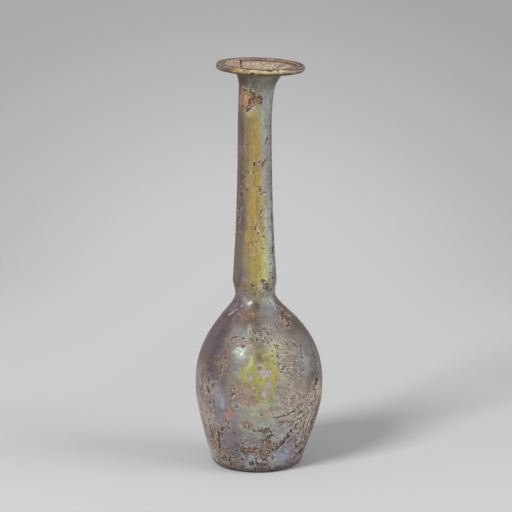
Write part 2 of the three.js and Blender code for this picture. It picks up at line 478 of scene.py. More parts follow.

# %% [markdown]
# The film
#
# Weathering film is a stack of layers each thinner than a hair. Where a flake has dropped off, the hole has
# a ragged edge and shows brown glass. Where only the upper layers are gone, the patch is duller and pinker.
# Where the film is about to go, it is worn: rough, dotted and finely terraced. All of them are listed as
# patches: an azimuth in degrees, a height, half a width and half a height in millimetres, and a tilt in
# degrees. A random cover alone would never put the large bare cross near the foot where it belongs.

# %% Flakes lost from the bulb
BULB_BARE = [
    (8, 17.4, 1.5, 0.9, 0), (9.5, 15.4, 0.9, 1.3, 0), (9, 12.4, 1.5, 2.1, 0), (-3, 9.6, 3.0, 0.75, 4),
    (8, 9.2, 2.1, 1.1, 0), (7.5, 6.8, 1.5, 1.1, 0), (3, 4.0, 2.2, 0.55, -6), (22, 11.4, 1.7, 0.8, 14),
    (30, 14.2, 1.5, 0.6, 45), (34, 16.8, 1.0, 0.4, 60), (15, 9.8, 1.5, 0.5, 4), (26, 12.8, 1.0, 0.5, 30),
    (-11, 10.2, 1.6, 0.45, 8), (-40, 5.0, 2.0, 0.7, 6), (-29, 3.6, 1.4, 0.9, 0), (-45, 12.4, 0.6, 3.4, -8),
    (-37, 17.6, 0.8, 0.5, 40), (63, 33.6, 0.6, 1.2, 6), (-52, 31.0, 0.4, 0.9, 30), (60, 6.6, 2.0, 0.7, 10),
]
print(len(BULB_BARE), "lost flakes on the bulb")

# %% Thinned and worn patches on the bulb
BULB_THINNED = [
    (0.5, 41.6, 1.3, 0.8, 10), (5.0, 39.4, 2.0, 1.5, 0), (-7.5, 38.0, 0.9, 1.0, 0),
    (8.4, 35.6, 1.1, 1.2, 16), (-5.5, 35.0, 2.1, 0.4, -6), (5.0, 32.4, 1.5, 1.5, 20),
    (-14, 32.6, 3.6, 2.8, -14), (-10, 29.2, 3.8, 1.4, 0), (23, 44.2, 1.6, 1.0, 10),
    (31, 43.4, 1.5, 0.8, 10), (37, 40.2, 1.3, 0.6, 20), (22, 32.6, 1.6, 1.3, 0), (16, 46.8, 1.3, 1.1, 0),
    (9, 50.8, 1.5, 0.5, -12), (17, 53.0, 1.4, 0.5, -6), (2, 54.6, 1.8, 0.6, 8), (-22, 49.8, 3.1, 1.0, 2),
    (-30, 22.8, 1.3, 1.7, 0), (-13, 20.2, 2.0, 0.8, -14), (3, 25.0, 1.3, 0.9, -10),
    (46, 56.0, 2.2, 0.5, 30), (-38, 43.0, 1.7, 1.3, 0), (-53, 33.0, 1.6, 2.4, 0), (-50, 29.6, 1.1, 1.6, 0),
    (24, 22.2, 3.0, 0.9, -4), (14, 26.0, 1.5, 0.8, 0), (38, 27.6, 3.0, 1.6, 8), (56, 30.0, 3.4, 2.0, -10),
    (64, 24.0, 2.4, 2.0, 0), (44, 19.0, 2.2, 1.0, 30), (-62, 24.0, 2.8, 1.8, 20), (-64, 17.0, 2.4, 2.6, 0),
]
BULB_WORN = [
    (-13, 31.4, 4.6, 3.6, -8), (-24, 31.4, 1.4, 2.8, 0), (31, 42.0, 5.0, 4.4, 0), (17, 47.0, 1.8, 1.8, 0),
    (4, 52.6, 5.0, 2.4, 0), (-22, 50.0, 4.4, 1.6, 0), (-12, 20.0, 3.0, 1.2, -14), (-26, 58.0, 4.0, 1.0, 0),
    (22, 32.0, 2.2, 2.0, 0), (46, 26.0, 12.0, 5.2, -6), (30, 21.6, 5.6, 2.2, 10), (46, 16.0, 5.0, 5.0, 24),
    (62, 13.0, 6.0, 9.0, 0), (56, 33.6, 4.0, 1.8, 0), (68, 42.0, 3.0, 5.0, 0), (50, 55.6, 4.0, 1.8, 20),
    (-55, 30.0, 4.0, 5.5, 0), (-62, 20.0, 5.0, 5.0, 0), (-50, 10.0, 5.0, 8.0, -12), (-34, 4.6, 6.0, 2.4, 0),
    (6, 10.0, 9.0, 4.0, 0), (10, 17.0, 3.0, 3.4, 0), (-38, 41.0, 3.0, 3.6, 0), (-48, 26.0, 2.4, 3.0, 0),
    (0, 2.4, 18.0, 1.2, 0),
]
print(len(BULB_THINNED), "thinned and", len(BULB_WORN), "worn patches on the bulb")

# %% Small marks on the bulb
BULB_MARKS = [
    (-34, 50.4, 0.3, 0.7, -30), (-29, 51.2, 0.7, 0.22, 10), (-18, 51.0, 0.6, 0.2, -10),
    (-19, 48.6, 1.2, 0.2, 6), (-14, 19.2, 1.1, 0.22, -24), (-8, 19.6, 0.6, 0.25, 10),
    (3, 24.1, 1.3, 0.22, 0), (-33, 22.6, 0.25, 1.8, 12), (-4, 17.8, 1.5, 0.22, -14),
    (-15, 12.3, 0.5, 0.3, 0), (-9, 12.5, 0.6, 0.25, 10), (-4, 12.8, 0.4, 0.3, 0), (-2, 6.4, 0.8, 0.4, -30),
    (-18, 5.6, 0.7, 0.4, 20), (-12, 7.9, 0.9, 0.3, -20), (-20, 7.4, 0.5, 0.4, 0), (18, 5.6, 0.5, 0.9, 0),
    (57, 25.4, 0.6, 0.5, 30), (42.5, 48.4, 0.35, 0.8, 24), (46, 47.2, 0.4, 0.5, 20),
    (49, 45.6, 0.3, 0.9, -20), (48, 43.6, 0.35, 0.5, 0), (46, 41.4, 0.4, 0.35, 0),
    (44.5, 39.4, 0.35, 0.5, 40), (40, 38.0, 0.9, 0.25, 34), (35, 39.8, 0.4, 0.4, 0),
    (33, 49.0, 0.45, 0.4, -40), (31, 45.9, 0.9, 0.22, 6), (20, 42.6, 0.35, 0.35, 0),
    (23, 40.8, 0.4, 0.35, 0), (21.5, 39.6, 0.3, 0.3, 0), (14, 47.0, 0.35, 0.45, 0), (12, 49.6, 0.4, 0.3, 0),
    (19, 48.8, 0.7, 0.22, -20), (20, 45.0, 0.25, 0.7, 0), (3, 52.2, 0.5, 0.3, 0), (8, 54.4, 0.4, 0.35, 0),
    (-1, 50.8, 0.4, 0.35, 0), (12, 52.4, 0.6, 0.25, 20), (6, 50.2, 0.35, 0.35, 0),
    (29, 54.0, 0.4, 0.3, -30), (-24, 31.4, 0.35, 0.5, -30), (-26, 28.6, 0.35, 0.35, 0),
    (-22, 33.6, 0.5, 0.3, 30), (-20, 26.8, 0.6, 0.3, 0), (-36, 44.0, 0.4, 0.4, 0),
    (-51, 35.2, 0.35, 0.6, 0), (-46, 33.4, 0.4, 1.0, -30), (-50, 31.2, 0.4, 0.9, 20),
    (-50, 26.8, 0.4, 0.7, 0), (-46, 25.6, 0.45, 0.5, 0), (-44, 23.4, 0.35, 0.6, 0), (-34, 9.4, 0.4, 0.3, 0),
    (-24, 9.0, 0.8, 0.3, 20), (40, 23.6, 0.4, 0.4, 0), (34, 24.2, 0.9, 0.22, 10), (48, 19.4, 0.4, 0.35, 0),
    (48, 6.8, 0.9, 0.35, 40), (51, 4.6, 0.5, 0.7, 10), (17, 20.8, 0.4, 0.3, 0), (20, 14.4, 0.3, 0.35, 0),
    (28, 34.6, 0.35, 0.4, 0), (30, 29.4, 0.35, 0.35, 0),
]
print(len(BULB_MARKS), "small marks on the bulb")

# %% Cracks and threads on the bulb
BULB_CRACKS = [
    [(76, 27.0), (72, 22.0), (70, 17.0), (66, 12.0), (60, 8.6)],
    [(70, 24.0), (66, 20.4), (67, 16.0), (63, 11.4)],
    [(58, 21.0), (57, 17.4), (58, 13.6), (54, 10.4), (48, 8.4)],
    [(36, 22.4), (42, 23.4), (50, 24.6), (60, 26.6)],
    [(30, 18.4), (36, 19.4), (40, 18.8), (46, 20.0)],
    [(44, 29.0), (50, 30.4), (58, 31.0), (64, 30.2)],
    [(-63, 35.5), (-62, 31.0), (-60, 27.5), (-57, 25.4)],
    [(-68, 31.0), (-66, 28.4), (-67, 26.0)],
    [(-58, 19.0), (-56, 15.5), (-55, 12.5), (-53, 9.6)],
    [(-31, 21.0), (-30, 19.4), (-30.5, 18.0)],
    [(-51, 36.6), (-53, 34.8), (-52, 33.4)],
    [(12, 22.6), (20, 23.0), (28, 23.6), (36, 25.0), (40, 26.8)],
    [(16, 20.6), (26, 20.8), (34, 20.2), (44, 21.4), (52, 23.0)],
    [(38, 18.0), (42, 16.6), (47, 17.0), (52, 18.4)],
    [(33, 12.0), (40, 13.6), (46, 15.4), (50, 17.4)],
    [(54, 22.6), (50, 20.0), (50, 17.6), (53, 15.0), (52, 12.0)],
    [(62, 30.0), (64, 26.0), (62, 22.0), (64, 18.0), (60, 13.0), (62, 9.0)],
    [(70, 46.0), (69, 42.6), (71, 40.0)],
    [(66, 40.4), (68, 37.6), (67, 35.4)],
    [(58, 36.0), (57, 33.0), (58, 30.6)],
    [(62, 56.4), (52, 54.6), (46, 54.2)],
    [(60, 59.6), (50, 57.4), (42, 55.4)],
    [(63, 62.4), (58, 60.2), (55, 57.6), (52, 55.0)],
    [(-72, 24.0), (-70, 19.0), (-67, 13.0)],
    [(44, 12.4), (47, 9.8), (52, 8.8), (56, 10.0)],
]
BULB_THREADS = [
    [(2, 9.0), (8, 8.4), (12, 9.2)],
    [(2, 5.0), (8, 5.0), (12, 6.0), (14, 8.0)],
    [(66, 25.0), (62, 20.0), (60, 15.0), (56, 11.0)],
    [(34, 21.4), (44, 22.4), (54, 24.6)],
    [(-58, 57.4), (-50, 58.6), (-42, 60.2), (-36, 61.0), (-31, 61.4)],
    [(44, 63.0), (54, 61.4), (62, 59.8), (68, 57.8), (70, 55.6)],
    [(-33, 24.8), (-32.6, 22.6), (-31, 20.8)],
    [(-50, 29.2), (-47, 30.4), (-46, 31.6)],
    [(26, 12.0), (30, 14.2), (34, 16.2)],
    [(15, 9.0), (17, 7.0), (18, 4.4)],
    [(-24, 29.4), (-23, 30.6), (-20, 31.4)],
]
print(len(BULB_CRACKS), "cracks and", len(BULB_THREADS), "threads on the bulb")

# %% Patches on the neck and the throat
NECK_BARE = [
    (0, 136.2, 1.7, 1.3, 20), (-11, 135.0, 1.1, 0.7, 34), (-24, 133.3, 0.7, 0.55, 30),
    (30, 68.4, 1.0, 0.9, -30),
]
NECK_THINNED = [
    (-4, 135.8, 3.0, 1.7, 22), (20, 114.2, 1.1, 0.7, 0), (36, 113.6, 1.7, 0.8, -4), (26, 92.8, 1.6, 0.9, 8),
    (30, 68.6, 1.6, 1.5, -20), (-45, 119.4, 1.4, 0.4, 0), (12, 89.6, 1.2, 1.8, 30),
    (-14, 83.0, 1.0, 1.0, 0),
]
NECK_WORN = [
    (30, 113.8, 3.0, 1.4, 0), (16, 91.0, 2.4, 2.6, 40), (-44, 119.0, 1.8, 1.4, 0), (-56, 96.0, 1.6, 5.0, 0),
    (-14, 83.4, 1.3, 1.4, 0), (60, 80.6, 2.0, 2.4, 0), (34, 68.4, 2.2, 1.8, 0), (1, 136.2, 2.2, 1.8, 20),
    (54, 121.0, 1.6, 2.0, 0), (70, 108.0, 1.2, 12.0, 0), (-10, 140.4, 4.0, 1.6, 0), (0, 65.4, 6.0, 1.2, 0),
]
print(len(NECK_BARE), "lost flakes and", len(NECK_THINNED), "thinned patches on the neck")

# %% Marks, cracks and threads on the neck and the throat
NECK_MARKS = [
    (47, 122.2, 0.45, 0.6, 0), (66, 120.2, 0.6, 0.5, 0), (58, 135.9, 0.6, 0.3, 0), (-2, 113.2, 0.4, 0.6, 0),
    (18, 113.8, 0.35, 0.4, 0), (24, 115.2, 0.5, 0.22, -10), (29, 112.9, 0.4, 0.5, 0),
    (38, 114.3, 0.4, 0.25, 0), (44, 113.0, 0.5, 0.25, 0), (33, 114.9, 0.3, 0.25, 0),
    (-17, 110.0, 0.8, 0.16, 0), (-42, 105.4, 0.3, 0.6, 0), (-23, 104.0, 0.25, 0.45, 0),
    (12, 104.9, 0.6, 0.3, -10), (17, 103.6, 0.35, 0.7, 20), (20, 102.2, 0.45, 0.4, 0),
    (34, 102.7, 0.5, 0.3, 0), (-56, 96.4, 0.6, 0.25, 20), (28, 86.4, 0.5, 0.32, -10),
    (23, 82.2, 0.55, 0.32, 10), (50, 75.9, 0.7, 0.3, 0), (47, 72.7, 0.4, 0.35, 0), (55, 70.8, 0.4, 0.3, 0),
    (64, 80.8, 0.8, 1.2, 0), (70, 92.6, 0.5, 1.4, 30), (-56, 88.2, 0.7, 0.2, 0), (4, 84.6, 0.3, 0.25, 0),
    (10, 87.8, 0.35, 0.2, 30), (-6, 80.2, 0.3, 0.2, 0), (20, 93.6, 0.3, 0.25, 0), (-5, 68.6, 0.5, 0.2, 0),
    (56, 108.0, 0.3, 0.8, 0),
]
NECK_CRACKS = [
    [
        (-30, 132.2), (-26, 134.4), (-18, 136.6), (-8, 138.1), (4, 138.5),
        (14, 138.0), (21, 136.6), (20, 135.0),
    ],
    [(-30, 132.2), (-22, 132.8), (-14, 133.6)],
    [(-48, 140.0), (-30, 139.7), (-12, 139.1), (-2, 138.7)],
    [(70, 131.0), (69, 124.0), (71, 116.0), (69, 108.0), (70, 99.0)],
    [(22, 70.4), (30, 70.3), (35, 69.0), (38, 66.6)],
    [(38, 66.6), (46, 65.6), (56, 66.4), (66, 68.2)],
    [(0, 89.4), (6, 91.0), (12, 92.6), (20, 95.4), (28, 97.0)],
    [(72, 96.0), (66, 90.0), (70, 84.0)],
]
NECK_THREADS = [
    [(-64, 141.2), (-46, 140.7), (-30, 140.4), (-14, 139.8), (0, 139.2)],
    [(3, 90.4), (10, 92.4), (18, 95.0)],
    [(24, 71.0), (31, 70.9), (37, 69.4)],
    [(-24, 131.8), (-14, 132.8), (0, 133.8)],
]
print(len(NECK_MARKS), "small marks and", len(NECK_CRACKS + NECK_THREADS), "lines on the neck")

# %% [markdown]
# The sides and the back carry patches, marks and lines of the same kinds and sizes. Their places don't
# matter, so a seeded random draw scatters them, which gives the same bottle on every run.

# %% Scatter patches and lines round the back
HIDDEN_FROM = 90
HIDDEN_TO = 270
HOLE_MARGIN = 10
LARGEST_TILT = 40
LINE_POINTS = (3, 5)
LINE_STEP_ACROSS = 6
LINE_STEP_UP = 2.2
LINE_TURN = 0.6
PATCH_SEED = 11


def scatter(draw, count, levels, widths, heights, margin=0):
    """Random patches on the side that the front view doesn't show, a margin away from its outline."""
    return [
        (
            draw.uniform(HIDDEN_FROM + margin, HIDDEN_TO - margin),
            draw.uniform(*levels),
            draw.uniform(*widths),
            draw.uniform(*heights),
            draw.uniform(-LARGEST_TILT, LARGEST_TILT),
        )
        for _ in range(count)
    ]


def scatter_lines(draw, count, levels):
    """Random wandering lines on the same side."""
    lines = []
    for _ in range(count):
        turn, level = draw.uniform(HIDDEN_FROM, HIDDEN_TO), draw.uniform(*levels)
        heading, points = draw.uniform(0, math.tau), []
        for _ in range(draw.randint(*LINE_POINTS)):
            points.append((turn, level))
            turn += LINE_STEP_ACROSS * math.cos(heading)
            level += LINE_STEP_UP * math.sin(heading)
            heading += draw.uniform(-LINE_TURN, LINE_TURN)
        lines.append(points)
    return lines


draw = random.Random(PATCH_SEED)
BULB_BARE += scatter(draw, 24, (4, 54), (0.7, 2.8), (0.5, 1.7), HOLE_MARGIN)
BULB_THINNED += scatter(draw, 44, (5, 60), (1.2, 4.2), (0.8, 2.6))
BULB_WORN += scatter(draw, 26, (4, 58), (3.0, 8.0), (1.6, 5.0))
BULB_MARKS += scatter(draw, 60, (4, 60), (0.3, 0.9), (0.2, 0.7))
BULB_CRACKS += scatter_lines(draw, 22, (5, 58))
BULB_THREADS += scatter_lines(draw, 8, (5, 60))
NECK_BARE += scatter(draw, 7, (67, 138), (0.5, 1.2), (0.4, 1.3), HOLE_MARGIN)
NECK_THINNED += scatter(draw, 14, (66, 138), (0.8, 1.9), (0.8, 3.4))
NECK_WORN += scatter(draw, 12, (66, 138), (1.4, 3.0), (1.5, 6.0))
NECK_MARKS += scatter(draw, 36, (66, 138), (0.25, 0.7), (0.2, 0.6))
NECK_CRACKS += scatter_lines(draw, 9, (68, 138))
NECK_THREADS += scatter_lines(draw, 4, (68, 138))
print(len(BULB_BARE + NECK_BARE), "lost flakes and", len(BULB_MARKS + NECK_MARKS), "small marks all round")

# %% Measure how deep a place lies in a patch or on a line
FAR_AWAY = 99.0
PATCH_SQUARENESS = 2.4


def degrees_past(azimuth, turn):
    """Degrees from an azimuth to each turn, the short way round."""
    return (turn - azimuth + 180) % 360 - 180


def depth_in(places, patches):
    """How deep each place lies inside its nearest patch, in millimetres, and negative outside every patch."""
    turn, radius = azimuths(places), np.hypot(places[:, 0], places[:, 1])
    deepest = np.full(len(places), -FAR_AWAY)
    for azimuth, level, half_width, half_height, tilt in patches:
        across = np.radians(degrees_past(azimuth, turn)) * radius
        up = places[:, 2] - level
        c, s = math.cos(math.radians(tilt)), math.sin(math.radians(tilt))
        wide, high = np.abs(across * c + up * s) / half_width, np.abs(up * c - across * s) / half_height
        reach = (wide**PATCH_SQUARENESS + high**PATCH_SQUARENESS) ** (1 / PATCH_SQUARENESS)
        deepest = np.maximum(deepest, (1 - reach) * min(half_width, half_height))
    return deepest


def depth_on(places, lines, half_width):
    """How deep each place lies inside the nearest of some drawn lines, in millimetres."""
    turn, radius = azimuths(places), np.hypot(places[:, 0], places[:, 1])
    nearest = np.full(len(places), FAR_AWAY)
    for points in lines:
        for (turn_a, level_a), (turn_b, level_b) in zip(points, points[1:]):
            middle, rise = (turn_a + turn_b) / 2, level_b - level_a
            start = math.radians(turn_a - middle) * radius
            across = np.radians(degrees_past(middle, turn)) * radius - start
            up = places[:, 2] - level_a
            share = np.clip((up * rise - 2 * across * start) / (4 * start**2 + rise**2), 0, 1)
            nearest = np.minimum(nearest, np.hypot(across + 2 * start * share, up - rise * share))
    return half_width - nearest


# %% [markdown]
# Stains and painted light
#
# The film's colours are broad, soft clouds: ochre down the neck, olive in the middle of the bulb, slate and
# lavender low on the right, mauve towards the left. A painter would lay them in wet, large ones first, so
# that is how they are kept: a ground colour and then dabs, each with its azimuth, height, half extents in
# degrees and millimetres, tint and strength. Some dabs are painted light: dark dabs near the outline are
# partly painted shade, a few pale ones are painted highlights, and dark ones under the rim and along the
# lip are painted shadow. The bulb's colours pass softly into the neck's at the waist, and a thin line of
# painted shadow runs along the inner edge of the lip. The colour is stored on the vertices, and the finish
# adds finer texture with its own nodes.

# %% Tints of the film
TINTS = {
    "ground": (118, 109, 103),
    "ash": (113, 109, 108),
    "dusk": (106, 97, 103),
    "mauve": (88, 76, 80),
    "plum": (76, 62, 70),
    "umber": (66, 50, 45),
    "bark": (96, 80, 73),
    "brown": (103, 84, 74),
    "russet": (100, 73, 60),
    "rust": (128, 88, 66),
    "clay": (152, 116, 92),
    "amber": (178, 132, 86),
    "bronze": (146, 116, 64),
    "khaki": (128, 113, 78),
    "ochre": (150, 128, 65),
    "honey": (156, 138, 75),
    "gold": (180, 152, 62),
    "olive": (138, 134, 84),
    "lime": (152, 152, 58),
    "wheat": (162, 150, 98),
    "pear": (168, 168, 112),
    "straw": (182, 166, 120),
    "sage": (150, 150, 130),
    "mint": (164, 178, 166),
    "slate": (132, 131, 124),
    "steel": (138, 142, 141),
    "haze": (118, 114, 124),
    "denim": (146, 151, 168),
    "lavender": (122, 122, 144),
    "heather": (131, 115, 120),
    "lilac": (162, 149, 158),
    "rose": (162, 150, 141),
    "blush": (146, 123, 114),
    "rosewood": (130, 107, 99),
    "taupe": (136, 124, 119),
    "tan": (142, 131, 120),
    "sand": (155, 147, 133),
    "shell": (182, 170, 162),
    "biscuit": (172, 151, 122),
    "cream": (214, 200, 164),
    "chalk": (206, 196, 180),
}

# %% Lay dabs of tint
CLOUDY = 0.6
CRISP = 0.22
FADE_OUT = 0.75
TURN_DRIFT, TURN_SWELL, TURN_SEED = 2.6, 4, 21
LEVEL_DRIFT, LEVEL_SWELL, LEVEL_SEED = 0.8, 3.4, 22


def linear(level):
    """A screen colour's light, from its level out of 255."""
    share = np.asarray(level) / 255
    return np.where(share <= 0.04045, share / 12.92, ((share + 0.055) / 1.055) ** 2.4)


def paint(places, ground, clouds, spots=(), drift=1.0):
    """Lays dabs of tint over a ground colour: first clouds with soft borders, then spots with crisp ones."""
    turn = azimuths(places) + drift * TURN_DRIFT * wander(places, TURN_SWELL, TURN_SEED)
    level = places[:, 2] + drift * LEVEL_DRIFT * wander(places, LEVEL_SWELL, LEVEL_SEED)
    colours = np.zeros((len(places), 3)) + (linear(TINTS[ground]) if isinstance(ground, str) else ground)
    for dabs, softness in ((clouds, CLOUDY), (spots, CRISP)):
        for azimuth, height, half_turn, half_height, tint, strength in dabs:
            across = degrees_past(azimuth, turn) / half_turn
            far = np.hypot(across, (level - height) / half_height)
            weight = strength * (1 - ease(far, 1 - softness, 1 + FADE_OUT * softness))
            colours += (linear(TINTS[tint]) - colours) * weight[:, None]
    return colours


print(len(TINTS), "tints")

# %% Clouds on the bulb
# The mauve, plum, bark and umber clouds near the outline, left and right, are partly painted shade where the
# bulb turns away; the steel cloud at -18 degrees, 48.4 mm is partly painted sheen round the gleam.
BULB_CLOUDS = [
    (-64, 52, 24, 15, "mauve", 0.9), (70, 54, 20, 12, "bark", 0.9), (-50, 45, 10, 9, "plum", 0.85),
    (-46, 55, 11, 8, "plum", 0.55), (68, 56, 14, 5, "umber", 0.5), (-66, 30, 26, 8.5, "taupe", 0.9),
    (-66, 20, 24, 7.5, "sand", 0.85), (-66, 20.5, 14, 4, "shell", 0.95), (-62, 9, 20, 6.5, "taupe", 0.85),
    (-70, 5, 13, 5.6, "shell", 0.75), (-46, 13, 10, 9, "rosewood", 0.75), (-28, 12, 15, 9, "dusk", 0.9),
    (-24, 9.4, 14, 4, "mauve", 0.8), (-30, 22, 13, 5, "heather", 0.8), (-38, 22.6, 6, 5, "dusk", 0.6),
    (-36, 28, 8, 4.5, "lavender", 0.5), (-37, 41, 11, 8, "bark", 0.9), (-46, 38, 8, 5, "plum", 0.5),
    (-23, 39, 8, 7, "ash", 0.9), (-30, 51, 10, 4.5, "ash", 0.7), (-18, 48.4, 10.5, 4.2, "steel", 0.9),
    (-22, 52.6, 13, 2.0, "ash", 0.7), (0, 53.4, 6, 4.6, "mauve", 0.85), (16, 52.0, 11, 4.4, "slate", 0.75),
    (35, 54.0, 14, 6.0, "bark", 0.25), (35, 54.6, 12, 5.4, "ash", 0.8), (36, 56.0, 10, 2.4, "dusk", 0.7),
    (50, 54.4, 9, 4, "bark", 0.6), (26, 47, 13, 5, "sage", 0.65), (50, 47, 16, 7, "ash", 0.6),
    (43, 42, 13, 6, "slate", 0.7), (66, 43, 11, 8, "ash", 0.7), (47, 34, 13, 4.2, "blush", 0.5),
    (0, 38, 17, 11.5, "olive", 0.95), (0, 48.4, 7, 3.0, "bark", 0.5), (-16, 38.4, 7, 2.2, "lime", 0.45),
    (2, 35.6, 12, 7.0, "lime", 0.45), (13, 43.0, 5, 4.6, "lime", 0.35), (1, 44.8, 6, 2.4, "olive", 0.6),
    (1, 45.0, 4, 1.8, "russet", 0.4), (22, 44.4, 7, 3, "pear", 0.4), (32, 41, 7, 3.4, "shell", 0.3),
    (64, 36, 8, 2.4, "plum", 0.75), (23, 40, 7, 8, "sage", 0.75), (24, 30, 12, 5, "sand", 0.7),
    (54, 27.6, 24, 5.6, "shell", 0.95), (33, 24, 14, 5, "shell", 0.9), (45, 18, 16, 5.0, "shell", 0.9),
    (56, 12, 13, 5, "shell", 0.75), (78, 14, 12, 14, "bark", 0.8), (0, 26, 14, 4, "sage", 0.85),
    (-8, 20.4, 13, 4, "sage", 0.75), (12, 20.4, 11, 3.4, "sage", 0.8), (-58, 31.6, 8, 2.6, "sand", 0.6),
    (14, 18.4, 9, 3.2, "denim", 0.45), (22, 24, 8, 3, "shell", 0.5), (6, 14, 13, 4, "steel", 0.85),
    (-12, 14, 9, 4, "haze", 0.8), (-14, 8, 12, 4, "haze", 0.7), (30, 13, 13, 4, "lilac", 0.6),
    (30, 8, 18, 4.4, "denim", 0.9), (0, 7, 11, 3.5, "denim", 0.6), (6, 8.4, 11, 2.6, "haze", 0.5),
    (54, 6, 12, 4, "heather", 0.7), (-40, 61.6, 17, 3.0, "mauve", 0.9), (-15, 62.4, 11, 1.8, "sage", 0.7),
    (22, 62.2, 24, 2.4, "slate", 0.85), (2, 63.6, 10, 1.4, "khaki", 0.7), (0, 60.4, 8, 2.2, "umber", 0.8),
    (-16, 63.6, 8, 1.4, "bark", 0.6), (-14, 57.6, 27, 2.8, "russet", 0.9),
    (-44, 58.6, 12, 3.0, "plum", 0.5), (-14, 57.0, 22, 2.6, "umber", 0.4), (24, 58.4, 22, 2.2, "ash", 0.8),
    (0, 1.2, 180, 1.7, "plum", 0.85), (0, 0.6, 180, 1.3, "umber", 0.8), (-32, 63.6, 10, 1.8, "steel", 0.6),
    (50, 63.2, 10, 2.0, "steel", 0.65), (-56, 60.4, 8, 1.5, "lavender", 0.4),
    (-64, 57.4, 9, 2.2, "umber", 0.45), (-8, 61.6, 14, 2.0, "umber", 0.35),
    (6, 55.8, 12, 1.8, "umber", 0.25), (-32, 58.0, 8, 3.0, "plum", 0.3), (-32, 48.4, 6, 2.6, "umber", 0.25),
    (0, 44.4, 5, 2.0, "umber", 0.5), (0, 63.6, 6, 1.0, "sage", 0.4), (-15, 52.2, 6, 1.6, "mint", 0.25),
    (-64, 4.2, 8, 1.6, "blush", 0.5), (32, 48.2, 8, 2.0, "bark", 0.35), (48, 52.2, 9, 2.0, "umber", 0.28),
    (-48, 24.2, 6, 1.8, "mauve", 0.3), (-32, 12.2, 6, 1.8, "lavender", 0.4),
    (-32, 39.6, 7, 2.6, "umber", 0.4), (48, 32.2, 8, 1.7, "brown", 0.4),
    (-40, 24.2, 11, 1.8, "mauve", 0.35), (-66, 10.6, 9, 3.6, "rosewood", 0.45),
    (-16, 10.4, 7, 3.0, "bark", 0.35), (-17, 4.4, 6, 1.6, "dusk", 0.5), (48, 3.8, 8, 1.7, "mauve", 0.4),
    (-16, 28.0, 8, 1.9, "shell", 0.4), (16, 28.0, 8, 1.9, "mint", 0.35), (56, 24.2, 14, 2.2, "chalk", 0.3),
    (-64, 20.2, 9, 2.4, "chalk", 0.3), (12, 20.0, 13, 2.2, "mint", 0.35),
    (48, 19.8, 20, 2.2, "chalk", 0.35), (16, 15.6, 18, 1.9, "mint", 0.5), (47, 11.6, 6, 1.9, "lilac", 0.4),
    (56, 8.0, 8, 1.6, "blush", 0.3),
]
print(len(BULB_CLOUDS), "clouds on the bulb")

